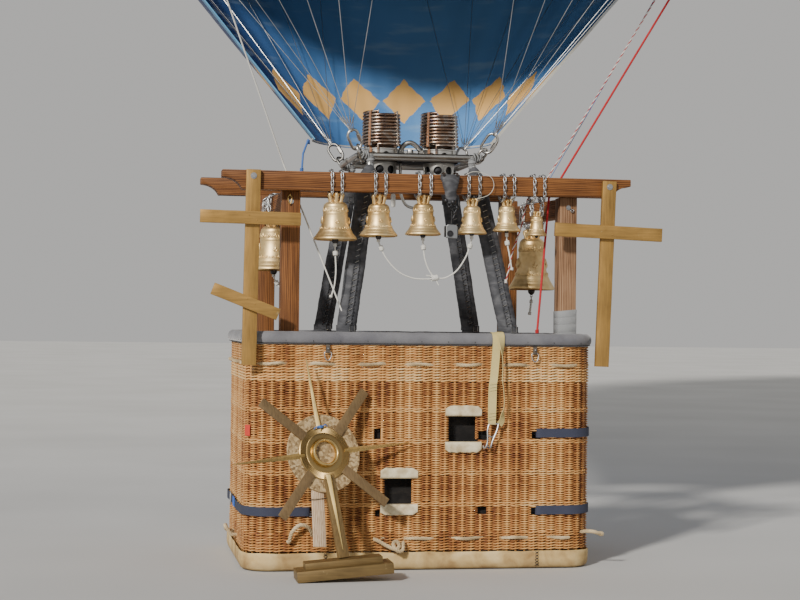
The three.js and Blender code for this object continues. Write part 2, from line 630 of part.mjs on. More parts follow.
// Basket: wicker walls with step holes and strap slots, a floor on runners and a rawhide skirt
const HOLES = [
    // centre X, centre Z, width, height
    [202, 676, 116, 132],
    [-110, 377, 119, 132],
    [-218, 652, 33, 55],
    [-208, 270, 20, 28],
    [302, 643, 26, 48],
    [303, 283, 21, 38],
    [567, 648, 23, 40],
    [567, 279, 21, 40],
    [-540, 279, 21, 40],
];
const wicker = aroundBasket([[0, WICKER_BOTTOM], [0, WICKER_TOP], [-WALL, WICKER_TOP], [-WALL, WICKER_BOTTOM]]);
const holes = HOLES.flatMap(([x, z, w, h]) => [-1, 1].map((s) => (
    box(w, 3 * WALL, h, x, s * (BASKET_D - WALL) / 2, z))));
add('basket', cut(wicker, ...holes), WICKER);

add('rim', aroundBasket(oval(RIM_HALF_W, RIM_HALF_H, 8, RIM_OUT, RIM_Z)), SUEDE);

const SKIRT_T = 6;
add('skirt', aroundBasket([
    [GAP, SKIRT_TOP], [GAP + SKIRT_T, SKIRT_TOP], [GAP + SKIRT_T, 34], [2, 9], [-30, 0], [-75, 0], [-75, SKIRT_T],
    [-32, SKIRT_T + 1], [-6, WICKER_BOTTOM - 2], [GAP, WICKER_BOTTOM - 1],
]), RAWHIDE);

const floorInset = WALL + 2;
const floorPlate = around(BASKET_W / 2 - floorInset, BASKET_D / 2 - floorInset, BASKET_R - floorInset,
    [[0, FLOOR_BOTTOM], [0, FLOOR_TOP], [-40, FLOOR_TOP], [-40, FLOOR_BOTTOM]]);
const floorMiddle = box(BASKET_W - 2 * floorInset - 70, BASKET_D - 2 * floorInset - 70, FLOOR_TOP - FLOOR_BOTTOM,
    0, 0, (FLOOR_TOP + FLOOR_BOTTOM) / 2);
const RUNNER_W = 70;
const runners = [-300, 0, 300].map((y) => box(1480, RUNNER_W, FLOOR_BOTTOM + 4, 0, y, FLOOR_BOTTOM / 2 + 2));
add('floor', join(floorPlate, floorMiddle, ...runners), PLYWOOD);

// Fuel cylinders, two at each end, between the posts
const TANK_R = 155;
const TANK_X = 655;
const TANK_Y = 165;
const TANK_PROFILE = [
    // radius, height over the floor
    [0, 0], [138, 0], [TANK_R, 24], [TANK_R, 640], [140, 700], [96, 730], [92, 790], [0, 790],
];
for (const [name, sx, sy] of CORNERS) {
    const tank = turned(TANK_PROFILE, 16).translate(sx * TANK_X, sy * TANK_Y, FLOOR_TOP + GAP);
    add(`fuel_cylinder_${name}`, tank, CYLINDER_JACKET);
}

// Gilt sunburst leaning before the basket: disc, rings and eight rays on a post, its two-step base
// a little raised at one end
const SUN = { x: -497, y: -700, z: 574, yaw: 18, lean: 16, roll: 5 };
const SUN_DISC_R = 185;
const SUN_BOARD = 12;
const SUN_SINK = 0.5;            // each ray into the disc's face
const RAY_FLAT = { from: 120, to: 385, halfW: 23, thick: 9 };
const RAY_SHARP = { from: 125, to: 460, halfW: 15, thick: 15, tipHalfW: 2, tipThick: 3 };
const SUN_POST = { width: 55, thick: 20, middle: 2, from: 120, to: 530 };
const SUN_SLAT = { width: 62, thick: 12, x: -34, middle: 18, from: 90, to: 432, turn: 9 };
const SUN_BASE = { x: -413, y: -822, roll: 5 };
const STEPS = [
    // width, depth, height, underside
    [445, 160, 50, 0],
    [358, 102, 31, 49.5],
];
const STEPS_HIGH = 80.5;

const facing = (g) => g.rotateX(Math.PI / 2);
const hoop = (outer, inner, depth, front) => facing(turned(
    [[outer, 0], [outer, depth], [inner, depth], [inner, 0], [outer, 0]], 24)).translate(0, -front, 0);
const upright = ({ width, thick, middle, from, to }) => (
    box(width, thick, to - from, 0, middle, -(to + from) / 2));
const sunDisc = facing(new THREE.CylinderGeometry(SUN_DISC_R, SUN_DISC_R, SUN_BOARD, 24).rotateX(Math.PI / 2))
    .translate(0, SUN_BOARD / 2, 0);
const flatRay = box(2 * RAY_FLAT.halfW, RAY_FLAT.thick, RAY_FLAT.to - RAY_FLAT.from,
    0, SUN_SINK - RAY_FLAT.thick / 2, (RAY_FLAT.to + RAY_FLAT.from) / 2);
const raySection = (halfW, thick, z) => [point(-halfW, 1, z), point(halfW, 1, z), point(0, -thick, z)];
const sharpRay = loft([
    raySection(RAY_SHARP.halfW, RAY_SHARP.thick, RAY_SHARP.from),
    raySection(RAY_SHARP.tipHalfW, RAY_SHARP.tipThick, RAY_SHARP.to),
]);
const turnedRay = (ray, degrees) => ray.clone().rotateY(rad(degrees));
const postFace = SUN_POST.thick / 2 - SUN_POST.middle;
const rays = [0, 90, 180, 270].flatMap((a) => [
    turnedRay(sharpRay, a).translate(0, a === 180 ? SUN_SINK - postFace : 0, 0), turnedRay(flatRay, a + 45)]);
const slat = upright(SUN_SLAT).rotateY(rad(SUN_SLAT.turn)).translate(SUN_SLAT.x, 0, 0);
const sunBoss = hoop(66, 52, 22, 8);
const sunRing = hoop(128, 60, 9, 0);
const sunEye = facing(new THREE.CylinderGeometry(54, 54, 8, 20).rotateX(Math.PI / 2)).translate(0, -3.5, 0);
const onSun = (g) => g.rotateY(-rad(SUN.roll)).rotateX(-rad(SUN.lean)).rotateZ(rad(SUN.yaw))
    .translate(SUN.x, SUN.y, SUN.z);
const onGround = (g) => g.translate(STEPS[0][0] / 2, 0, 0).rotateY(-rad(SUN_BASE.roll))
    .translate(SUN_BASE.x - STEPS[0][0] / 2, SUN_BASE.y, 0);
const underPost = onGround(box(300, 300, 400, 0, 0, STEPS_HIGH + GAP - 200));
add('sunburst', cut(onSun(join(sunDisc, upright(SUN_POST), slat, sunRing, sunBoss, sunEye, ...rays)), underPost),
    GOLD_WOOD);
const sunBase = join(...STEPS.map(([w, d, h, z]) => box(w, d, h, 0, 0, z + h / 2)));
add('sunburst_base', onGround(sunBase), GOLD_WOOD);

// The origin is the crown
ground.position.z = -CROWN_Z;

export default balloon;
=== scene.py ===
# %% [markdown]
# # A hot air balloon, dressed for the camera
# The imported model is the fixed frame: basket, timber frame, bells, burners, wires and envelope are in it
# at their real size. Each cell here makes one finish or one fine piece around that frame.
# Metres, +Z up, the front towards -Y, and the origin at the crown, 19.5 m over the ground.

import bmesh
import bpy
import random
from math import atan2, cos, exp, pi, radians, sin, sqrt
from mathutils import Matrix, Vector, noise


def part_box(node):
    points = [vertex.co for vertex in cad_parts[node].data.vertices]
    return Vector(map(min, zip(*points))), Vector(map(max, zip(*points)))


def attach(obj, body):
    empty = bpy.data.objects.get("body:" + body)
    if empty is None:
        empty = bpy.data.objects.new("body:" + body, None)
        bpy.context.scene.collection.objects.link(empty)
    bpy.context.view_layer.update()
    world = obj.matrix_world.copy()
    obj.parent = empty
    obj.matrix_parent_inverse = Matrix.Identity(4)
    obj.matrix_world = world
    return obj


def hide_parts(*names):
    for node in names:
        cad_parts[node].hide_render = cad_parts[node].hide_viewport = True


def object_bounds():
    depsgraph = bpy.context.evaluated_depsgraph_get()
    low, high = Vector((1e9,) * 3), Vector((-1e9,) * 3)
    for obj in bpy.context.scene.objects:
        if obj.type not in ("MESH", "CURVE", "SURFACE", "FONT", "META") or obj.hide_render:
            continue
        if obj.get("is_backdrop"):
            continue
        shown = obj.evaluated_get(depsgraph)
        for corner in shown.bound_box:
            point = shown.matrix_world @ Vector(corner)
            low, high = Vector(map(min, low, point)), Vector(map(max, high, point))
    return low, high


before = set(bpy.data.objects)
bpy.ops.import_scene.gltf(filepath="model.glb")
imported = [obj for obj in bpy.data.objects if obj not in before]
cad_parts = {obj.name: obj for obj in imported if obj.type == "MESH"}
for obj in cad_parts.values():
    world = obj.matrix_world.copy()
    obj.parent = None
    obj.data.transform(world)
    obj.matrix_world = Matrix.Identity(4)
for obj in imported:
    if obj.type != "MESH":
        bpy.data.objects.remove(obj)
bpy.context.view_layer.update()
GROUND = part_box("skirt")[0].z
AIRFRAME = "airframe"
MM = 0.001
TURN = 2 * pi
UP = Vector((0, 0, 1))
RIGHT = Vector((1, 0, 0))
ORIGIN = Vector((0, 0, 0))
SQUARE = ((-1, -1), (1, -1), (1, 1), (-1, 1))
print("frame", len(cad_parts), "nodes, ground at", round(GROUND, 3))

# %% [markdown]
# Every place below is written in millimetres over the ground, as a maker would measure it beside the basket.
# Small functions turn such places into the frame's metres, and share out angles round a circle.

# %% Places
def at(x, y, z):
    return Vector((x * MM, y * MM, z * MM + GROUND))


def mm(x, y, z):
    """A shift in millimetres."""
    return Vector((x * MM, y * MM, z * MM))


def facing(x, z, y):
    """A place by X, Z and then Y, for a section that looks along Y."""
    return at(x, y, z)


def places(points):
    """Triples are millimetres over the ground; vectors are kept."""
    return [p if isinstance(p, Vector) else at(*p) for p in points]


def circle(count):
    return [TURN * j / count for j in range(count)]


def ray(angle, up=0.0):
    return Vector((cos(angle), sin(angle), up))


def clamped(value):
    return max(0.0, min(1.0, value))


def uneven(*place):
    """A smooth random value for a place."""
    return noise.noise(Vector(place))


def turned_by(angle, axis):
    return Matrix.Rotation(radians(angle), 4, axis)


# %% [markdown]
# The camera stands where the photographer stood: 8.75 m in front of the basket's middle, at eye height for
# someone crouching, with a long lens. Its place and turn were solved from the basket's edges.

# %% Camera
CAMERA_PLACE = (-1555.9, -8753, 1191.3)
CAMERA_YAW = 9.93
CAMERA_PITCH = 0.71
CAMERA_ROLL = 0.67
FOCAL_PIXELS = 1740
IMAGE_WIDTH = 800
SENSOR_MM = 36


def linked(name, data):
    """A new object in the scene, with the data given."""
    made = bpy.data.objects.new(name, data)
    bpy.context.scene.collection.objects.link(made)
    return made


camera = linked("camera", bpy.data.cameras.new("camera"))
camera.data.sensor_width = SENSOR_MM
camera.data.lens = SENSOR_MM * FOCAL_PIXELS / IMAGE_WIDTH
camera.data.clip_end = 200
camera.location = at(*CAMERA_PLACE)
turn = turned_by(-CAMERA_YAW, "Z") @ turned_by(90 + CAMERA_PITCH, "X") @ turned_by(CAMERA_ROLL, "Z")
camera.rotation_euler = turn.to_euler()
bpy.context.scene.camera = camera
print("camera", round(camera.data.lens, 1), "mm lens")

# %% [markdown]
# A studio for something 19.5 m tall is a wide pale floor, an even sky and one broad key light from the
# left. The key comes in low enough to pass under the envelope and reach the basket, as the sun did.

# %% Studio
FLOOR_HALF = 80
KEY_ELEVATION = radians(29)
KEY_AZIMUTH = radians(-38)
KEY_SPREAD = radians(5)
KEY_STRENGTH = 3.9
KEY_COLOUR = (1, 0.955, 0.885)
SKY_STRENGTH = 0.5
SKY_COLOUR = (1, 0.985, 0.96, 1)

floor_mesh = bpy.data.meshes.new("studio_floor")
corners = [(x * FLOOR_HALF, y * FLOOR_HALF, GROUND - MM) for x, y in SQUARE]
floor_mesh.from_pydata(corners, [], [(0, 1, 2, 3)])
studio_floor = linked("studio_floor", floor_mesh)
studio_floor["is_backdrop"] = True

key = linked("key", bpy.data.lights.new("key", "SUN"))
key.data.energy = KEY_STRENGTH
key.data.angle = KEY_SPREAD
key.data.color = KEY_COLOUR
key.rotation_euler = (pi / 2 - KEY_ELEVATION, 0, KEY_AZIMUTH)

world = bpy.data.worlds.new("studio")
bpy.context.scene.world = world
world.use_nodes = True
sky = world.node_tree.nodes["Background"].inputs
sky["Color"].default_value = SKY_COLOUR
sky["Strength"].default_value = SKY_STRENGTH
print("studio lit")

# %% [markdown]
# ## Tools of the trade
# A finish is a node tree. This class keeps the calls short, so that each material reads as a recipe:
# where the pattern sits, what it looks like, and what it does to colour, gloss and relief.

# %% Finish
BLACK = (0, 0, 0)
WHITE = (1, 1, 1)


class Tree:
    def node(self, kind, values=None, **settings):
        made = self.tree.nodes.new(kind)
        for key, value in settings.items():
            setattr(made, key, value)
        for key, value in (values or {}).items():
            self.give(made.inputs[key], value)
        return made

    def give(self, socket, value):
        if isinstance(value, bpy.types.NodeSocket):
            self.tree.links.new(value, socket)
        else:
            socket.default_value = value

    def out(self, kind, values=None, socket=0, **settings):
        return self.node(kind, values, **settings).outputs[socket]

    def math(self, operation, a, b=0.0, clamp=False):
        return self.out("ShaderNodeMath", {0: a, 1: b}, operation=operation, use_clamp=clamp)

    def times(self, a, b, clamp=False):
        return self.math("MULTIPLY", a, b, clamp)

    def plus(self, *values):
        total = values[0]
        for value in values[1:]:
            total = self.math("ADD", total, value)
        return total

    def weighed(self, *parts):
        """The sum of values, each with its weight."""
        return self.plus(*[self.times(value, weight) for value, weight in parts])


class Finish(Tree):
    def __init__(self, name):
        self.material = bpy.data.materials.new(name)
        self.material.use_nodes = True
        self.tree = self.material.node_tree
        self.shader = self.tree.nodes["Principled BSDF"]
        self.place = self.out("ShaderNodeTexCoord", socket="Object")
        self.uv = self.out("ShaderNodeTexCoord", socket="UV")

    def mapped(self, scale, vector=None):
        return self.out("ShaderNodeMapping", {"Vector": vector or self.place, "Scale": scale})

    def along(self, axis, run, across):
        """Places scaled for a pattern that runs along one axis."""
        return self.mapped([run if letter == axis else across for letter in "XYZ"])

    def noise(self, scale, detail=3, vector=None, distortion=0):
        return self.out("ShaderNodeTexNoise", {"Vector": vector or self.place, "Scale": scale,
                                               "Detail": detail, "Distortion": distortion})

    def cells(self, scale, vector=None, feature="F1", socket="Distance"):
        return self.out("ShaderNodeTexVoronoi", {"Vector": vector or self.place, "Scale": scale}, socket,
                        feature=feature)

    def bands(self, scale, vector=None, direction="X", distortion=0):
        return self.out("ShaderNodeTexWave", {"Vector": vector or self.place, "Scale": scale,
                                              "Distortion": distortion}, "Fac", bands_direction=direction)

    def ramp(self, value, stops):
        made = self.node("ShaderNodeValToRGB", {"Fac": value})
        ramp = made.color_ramp
        while len(ramp.elements) < len(stops):
            ramp.elements.new(0.5)
        for element, (place, colour) in zip(ramp.elements, stops):
            element.position = place
            element.color = (*colour, 1)
        return made.outputs["Color"]

    def patches(self, value, low, high):
        """Black under the low value and white over the high one."""
        return self.ramp(value, [(low, BLACK), (high, WHITE)])

    def spread(self, value, low, high):
        return self.out("ShaderNodeMapRange", {"Value": value, "To Min": low, "To Max": high})

    def mix(self, share, a, b, blend="MIX"):
        a, b = [(*c, 1) if isinstance(c, tuple) else c for c in (a, b)]
        return self.out("ShaderNodeMix", {0: share, 6: a, 7: b}, 2, data_type="RGBA", blend_type=blend)

    def relief(self, height, strength, depth):
        made = self.node("ShaderNodeBump", {"Height": height, "Strength": strength, "Distance": depth})
        if self.shader.inputs["Normal"].is_linked:
            self.give(made.inputs["Normal"], self.shader.inputs["Normal"].links[0].from_socket)
        self.give(self.shader.inputs["Normal"], made.outputs[0])

    def set(self, colour, rough, **sockets):
        for key, value in {"Base_Color": colour, "Roughness": rough, **sockets}.items():
            self.give(self.shader.inputs[key.replace("_", " ")], value)
        return self.material


def toned(colour, by):
    return tuple(min(1, by * c) for c in colour)


# %% [markdown]
# Shapes are gathered as points and faces, and become one object at the end. Ropes, bars and rings are all
# tubes along a path, so one careful tube serves them: its section is carried along without twisting, and
# its UV map runs round the tube and along it in metres, which lets a rope's lay follow the rope. Widths,
# radii and steps are millimetres.

# %% Shapes
ROPE_LAY = 0.042


def curve(points, step, closed=False):
    """Points of a smooth curve through the given ones, about step apart."""
    p = [Vector(q) for q in points]
    n = len(p)
    line = []
    for i in range(n if closed else n - 1):
        a, b = p[i], p[(i + 1) % n]
        before = p[(i - 1) % n] if closed or i else a * 2 - b
        after = p[(i + 2) % n] if closed or i < n - 2 else b * 2 - a
        parts = max(1, round((b - a).length / step))
        for t in (k / parts for k in range(parts)):
            line.append(0.5 * (2 * a + (b - before) * t + (2 * before - 5 * a + 4 * b - after) * t ** 2
                               + (3 * a - before - 3 * b + after) * t ** 3))
    return line if closed else line + [p[-1]]


def smooth(points, step, closed=False):
    return curve(places(points), step * MM, closed)


def line_length(line):
    return sum((b - a).length for a, b in zip(line, line[1:]))


def carried(line, closed=False):
    """A normal and a binormal at each point, carried along without twisting."""
    n = len(line)
    along = []
    for i in range(n):
        before = line[i - 1] if closed or i else line[i]
        after = line[(i + 1) % n] if closed or i < n - 1 else line[i]
        along.append((after - before).normalized())
    side = along[0].orthogonal().normalized()
    normals = []
    for tangent in along:
        side = (side - tangent * side.dot(tangent)).normalized()
        normals.append((side, tangent.cross(side)))
    return normals


def new_mesh(name, points, edges=(), faces=()):
    mesh = bpy.data.meshes.new(name)
    mesh.from_pydata([tuple(p) for p in points], edges, faces)
    return mesh


def shade(made, angle):
    made.data.shade_smooth()
    made.data.set_sharp_from_angle(angle=radians(angle))


def freeze(made):
    """Applies an object's modifiers to its mesh."""
    graph = bpy.context.evaluated_depsgraph_get()
    result = bpy.data.meshes.new_from_object(made.evaluated_get(graph))
    made.modifiers.clear()
    made.data = result


def declared(made, node=None, body=AIRFRAME):
    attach(made, body)
    if node:
        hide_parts(node)
    return made


class Shape:
    def __init__(self):
        self.points = []
        self.faces = []
        self.uvs = []

    def rings(self, rings, closed=False, caps=True, measure=None):
        """Skins rings of equally many points, round and, if closed, back to the first ring."""
        start = len(self.points)
        n = len(rings[0])
        for ring in rings:
            self.points.extend(ring)
        measure = measure or list(range(len(rings) + 1))
        for i in range(len(rings) if closed else len(rings) - 1):
            low, high = start + i * n, start + ((i + 1) % len(rings)) * n
            for j in range(n):
                k = (j + 1) % n
                self.faces.append((low + j, low + k, high + k, high + j))
                u = [j / n, (j + 1) / n, (j + 1) / n, j / n]
                v = [measure[i], measure[i], measure[i + 1], measure[i + 1]]
                self.uvs.extend(zip(u, v))
        if caps and not closed:
            last = start + (len(rings) - 1) * n
            self.faces.append(tuple(range(start, start + n))[::-1])
            self.faces.append(tuple(range(last, last + n)))
            self.uvs.extend([(0, 0)] * 2 * n)
        return self

    def prism(self, section, levels, put=at):
        """The same section at each level; put makes a place of a section's point and a level."""
        return self.rings([[put(*p, level) for p in section] for level in levels])

    def tube(self, line, radius, sides=8, closed=False, wide=1, deep=1):
        line = places(line)
        rings = []
        for p, (side, up) in zip(line, carried(line, closed)):
            rings.append([p + side * (radius * MM * wide * cos(a)) + up * (radius * MM * deep * sin(a))
                          for a in circle(sides)])
        measure = [0]
        for a, b in zip(line, line[1:] + line[:1]):
            measure.append(measure[-1] + (b - a).length)
        return self.rings(rings, closed, measure=measure)

    def hoop(self, line, radius, sides=8, **settings):
        return self.tube(line, radius, sides, True, **settings)

    def rope(self, line, radius, sides=6, closed=False):
        """Three strands laid round each other, one turn in each lay of length."""
        run = [0]
        for a, b in zip(line, line[1:]):
            run.append(run[-1] + (b - a).length)
        turns = round(run[-1] / ROPE_LAY) if closed else run[-1] / ROPE_LAY
        for strand in range(3):
            path = []
            for p, (side, up), s in zip(line, carried(line, closed), run):
                a = TURN * (strand / 3 + turns * s / max(run[-1], 1e-6))
                path.append(p + (side * cos(a) + up * sin(a)) * (radius * MM) * 0.46)
            self.tube(path, radius * 0.55, sides, closed)
        return self

    def wound(self, centre, radius, height, turns, wire, lean=UP, sides=6):
        """Turns of cord side by side round a core."""
        spin = UP.rotation_difference(Vector(lean).normalized()).to_matrix()
        steps = turns * 10
        angles = [TURN * i / 10 for i in range(steps + 1)]
        line = [centre + spin @ mm(radius * cos(a), radius * sin(a), height * (i / steps - 0.5))
                for i, a in enumerate(angles)]
        return self.tube(line, wire, sides)

    def band(self, line, width, thick, across):
        """A flat strap along a line; across is one direction, or one for each point."""
        line = places(line)
        rings = []
        run = [0]
        for i, p in enumerate(line):
            along = (line[min(i + 1, len(line) - 1)] - line[max(i - 1, 0)]).normalized()
            side = across[i] if isinstance(across, list) else across
            side = (side - along * side.dot(along)).normalized() * (width * MM) / 2
            up = along.cross(side).normalized() * (thick * MM) / 2
            rings.append([p - side - up, p + side - up, p + side + up, p - side + up])
            if i:
                run.append(run[-1] + (p - line[i - 1]).length)
        return self.rings(rings, measure=run + [run[-1]])

    def turned(self, profile, centre, sides=32, axis="Z"):
        """A profile of radius and height in millimetres, turned about an axis."""
        rings = []
        for r, z in profile:
            ring = [mm(r * cos(a), r * sin(a), z) for a in circle(sides)]
            if axis == "Y":
                ring = [Vector((p.x, -p.z, p.y)) for p in ring]
            rings.append([centre + p for p in ring])
        return self.rings(rings, caps=False)

    def block(self, low, high):
        """A plain block between two corners."""
        corners = ((low.x, low.y), (high.x, low.y), (high.x, high.y), (low.x, high.y))
        return self.rings([[Vector((x, y, z)) for x, y in corners] for z in (low.z, high.z)])

    def moved(self, matrix, start=0):
        self.points[start:] = [matrix @ Vector(p) for p in self.points[start:]]
        return self

    def piece(self, name, material, slot=None, node=None, smooth=40, bevel=0, body=AIRFRAME, tidy=True):
        mesh = new_mesh(name, self.points, [], self.faces)
        layer = mesh.uv_layers.new(name="UVMap")
        layer.data.foreach_set("uv", [x for uv in self.uvs for x in uv])
        if tidy:
            bm = bmesh.new()
            bm.from_mesh(mesh)
            bmesh.ops.remove_doubles(bm, verts=bm.verts, dist=2e-6)
            bmesh.ops.recalc_face_normals(bm, faces=bm.faces)
            bm.to_mesh(mesh)
            bm.free()
        mesh.materials.append(material)
        made = linked(name, mesh)
        if bevel:
            edge = made.modifiers.new("edge", "BEVEL")
            edge.width = bevel * MM
            edge.segments = 2
            edge.limit_method = "ANGLE"
            freeze(made)
        if smooth:
            shade(made, smooth)
        return declared(made, node, body)


print("tools ready")

# %% [markdown]
# ## Finishes
# Timber is grain that runs along a piece, so each timber finish is told its axis. Long streaks come from
# noise squeezed along the grain, growth rings from distorted bands, and knots from sparse cells.

# %% Timber finishes
def timber(name, axis, dark, mid, light, rough=0.62, worn=0.25):
    f = Finish(name)
    across = f.along(axis, 1.6, 26)
    rings = f.bands(1.4, across, "X" if axis == "Z" else "Z", 5.5)
    grain = f.weighed((f.noise(3.2, 6, across, 0.6), 0.65), (rings, 0.35))
    colour = f.ramp(grain, [(0.28, dark), (0.5, mid), (0.74, light)])
    knots = f.ramp(f.cells(1.5, f.along(axis, 1.3, 2.6)), [(0.03, WHITE), (0.085, BLACK)])
    colour = f.mix(knots, colour, toned(dark, 0.35))
    weather = f.patches(f.noise(4.5, 4), 0.42, 0.72)
    colour = f.mix(f.times(weather, worn), colour, toned(light, 1.45))
    f.relief(grain, 0.35, 0.0012)
    return f.set(colour, f.spread(grain, rough + 0.12, rough - 0.1), Specular_IOR_Level=0.3)


STAIN = [(0.055, 0.018, 0.006), (0.145, 0.053, 0.014), (0.28, 0.115, 0.034)]
stained_x, stained_y, stained_z = [timber("stained_timber_" + axis.lower(), axis, *STAIN) for axis in "XYZ"]
weathered_z = timber("weathered_timber", "Z", (0.075, 0.032, 0.015), (0.215, 0.108, 0.052),
                     (0.36, 0.225, 0.13),
                     0.75, 0.32)
pale_z = timber("pale_slat", "Z", (0.36, 0.24, 0.145), (0.55, 0.40, 0.26), (0.68, 0.53, 0.37), 0.7, 0.3)
ply = timber("plywood", "X", (0.30, 0.19, 0.10), (0.45, 0.31, 0.18), (0.58, 0.42, 0.27), 0.7, 0.3)
print("timber finishes")

# %% [markdown]
# The crosses and the sunburst are plain boards under gold paint: brush marks along the board, a little
# metal in the gloss, and thin places where the wood and the filler show through.

# %% Gold paint
def gold_paint(name, axis, base=(0.36, 0.208, 0.056), metal=0.45):
    f = Finish("gold_paint_" + name)
    brush = f.noise(2.2, 5, f.along(axis, 4, 60), 0.3)
    blotch = f.noise(7, 4)
    colour = f.ramp(f.weighed((brush, 0.55), (blotch, 0.45)),
                    [(0.3, toned(base, 0.62)), (0.5, base), (0.72, toned(base, 1.35))])
    thin = f.patches(f.noise(23, 3), 0.70, 0.78)
    colour = f.mix(f.times(thin, 0.6), colour, (0.52, 0.40, 0.20))
    f.relief(brush, 0.28, 0.0008)
    return f.set(colour, f.spread(blotch, 0.36, 0.6), Metallic=metal)


def chips():
    """Pressed wood chips: flat flakes of several tones."""
    f = Finish("chipboard")
    tone = f.out("ShaderNodeSeparateColor", {0: f.cells(95, socket="Color")})
    share = f.weighed((tone, 0.5), (f.noise(20, 5), 0.5))
    colour = f.ramp(share, [(0.26, (0.20, 0.125, 0.055)), (0.48, (0.40, 0.275, 0.135)),
                            (0.70, (0.54, 0.40, 0.215))])
    f.relief(share, 0.3, 0.001)
    return f.set(colour, 0.8)


gold_x = gold_paint("x", "X")
gold_z = gold_paint("z", "Z")
gold_dull = gold_paint("dull", "Z", (0.215, 0.142, 0.068), 0.5)
gold_dull_long = gold_paint("post", "Z", (0.23, 0.15, 0.060), 0.5)
# A darker copy of the gold paint for the sunburst's steps: painted shade.
gold_shaded_x = gold_paint("steps", "X", (0.19, 0.125, 0.048), 0.5)
gold_bright = gold_paint("bright", "Z", (0.54, 0.40, 0.16), 0.7)
chipboard = chips()
print("gold paint")

# %% [markdown]
# Metals: bells are cast bronze, bright on the swell and darker where the casting skin is left; the burner
# is stainless steel that the flame has tinted; chains are galvanised; the clappers are raw iron.

# %% Metals
def cast_bronze():
    f = Finish("bell_bronze")
    skin = f.noise(38, 5)
    haze = f.noise(6, 3)
    colour = f.ramp(f.weighed((skin, 0.4), (haze, 0.6)),
                    [(0.32, (0.54, 0.35, 0.14)), (0.5, (0.82, 0.60, 0.29)), (0.7, (0.92, 0.73, 0.42))])
    f.relief(skin, 0.22, 0.0006)
    return f.set(colour, f.spread(haze, 0.36, 0.54), Metallic=0.9)


def steel(name, colour=(0.62, 0.61, 0.58), rough=0.3, scratch=55):
    f = Finish(name)
    brush = f.noise(scratch, 4, f.mapped((1, 1, 6)))
    shown = f.ramp(f.noise(5, 4), [(0.35, toned(colour, 0.62)), (0.6, colour)])
    f.relief(brush, 0.12, 0.0004)
    return f.set(shown, f.spread(brush, rough - 0.08, rough + 0.18), Metallic=1.0)


def coil_steel():
    """Stainless tube that the flame has turned straw, brown and violet in places."""
    f = Finish("heat_tinted_coil")
    heat = f.noise(9, 4, f.mapped((1, 1, 2.2)), 0.8)
    colour = f.ramp(heat, [(0.30, (0.22, 0.17, 0.16)), (0.42, (0.42, 0.27, 0.18)), (0.52, (0.55, 0.50, 0.46)),
                           (0.62, (0.50, 0.32, 0.20)), (0.74, (0.30, 0.24, 0.30))])
    f.relief(f.noise(120, 2), 0.1, 0.0003)
    return f.set(colour, f.spread(heat, 0.2, 0.42), Metallic=1.0)


bronze = cast_bronze()
coil_finish = coil_steel()
stainless = steel("burner_steel")
dark_steel = steel("gimbal_steel", (0.42, 0.41, 0.39), 0.38)
galvanised = steel("galvanised_chain", (0.60, 0.61, 0.62), 0.34, 90)
brass = steel("small_brass", (0.62, 0.42, 0.16), 0.3)
bright_brass = steel("boss_brass", (0.80, 0.58, 0.24), 0.24)
old_bronze = steel("milled_bronze", (0.42, 0.29, 0.12), 0.34)
iron = steel("clapper_iron", (0.11, 0.10, 0.095), 0.55, 40)
black_steel = steel("valve_black", (0.06, 0.06, 0.065), 0.45, 40)
plate_black = steel("burner_plate_black", (0.018, 0.018, 0.020), 0.8, 40)
wire_steel = steel("rigging_wire", (0.70, 0.70, 0.68), 0.36, 90)
case_grey = steel("case_grey", (0.30, 0.31, 0.32), 0.45, 60)
copper_strap = steel("copper_strap", (0.72, 0.38, 0.22), 0.34)
print("metals")

# %% [markdown]
# Soft finishes. Suede has a matt nap with rubbed, paler places; leather sleeves are creased; rawhide is a
# stiff cream hide with stains near the ground; webbing, tape and canvas show their weave as fine bands.

# %% Leather, hide and cloth
def suede():
    f = Finish("rim_suede")
    nap = f.noise(210, 2)
    colour = f.mix(f.patches(f.noise(5.5, 4), 0.38, 0.7), (0.088, 0.088, 0.104), (0.20, 0.20, 0.215))
    colour = f.mix(f.times(nap, 0.3), colour, (0.29, 0.29, 0.31))
    f.relief(nap, 0.35, 0.0008)
    f.relief(f.noise(26, 4), 0.35, 0.003)
    return f.set(colour, 0.92, Sheen_Weight=0.35, Sheen_Roughness=0.5)


def leather(name, dark, light, rough=0.55):
    f = Finish(name)
    folds = f.noise(14, 5, f.mapped((1, 1, 2.4)), 0.7)
    colour = f.mix(f.patches(folds, 0.42, 0.68), dark, light)
    f.relief(f.cells(85, feature="DISTANCE_TO_EDGE"), 0.25, 0.0008)
    f.relief(folds, 0.55, 0.006)
    return f.set(colour, f.spread(folds, rough + 0.15, rough - 0.12))


def rawhide():
    f = Finish("rawhide")
    mottle = f.noise(9, 6, distortion=0.4)
    colour = f.ramp(mottle,
                    [(0.34, (0.34, 0.21, 0.08)), (0.5, (0.55, 0.385, 0.165)), (0.68, (0.70, 0.53, 0.27))])
    height = f.out("ShaderNodeSeparateXYZ", {0: f.place}, 2)
    low = f.out("ShaderNodeMapRange", {"Value": height, "From Min": GROUND + 0.05, "From Max": GROUND - 0.01})
    dirt = f.times(low, f.spread(f.noise(14, 4), 0.1, 1.2), clamp=True)
    colour = f.mix(dirt, colour, (0.17, 0.11, 0.055))
    f.relief(f.noise(70, 4), 0.3, 0.001)
    f.relief(mottle, 0.5, 0.004)
    return f.set(colour, 0.78)


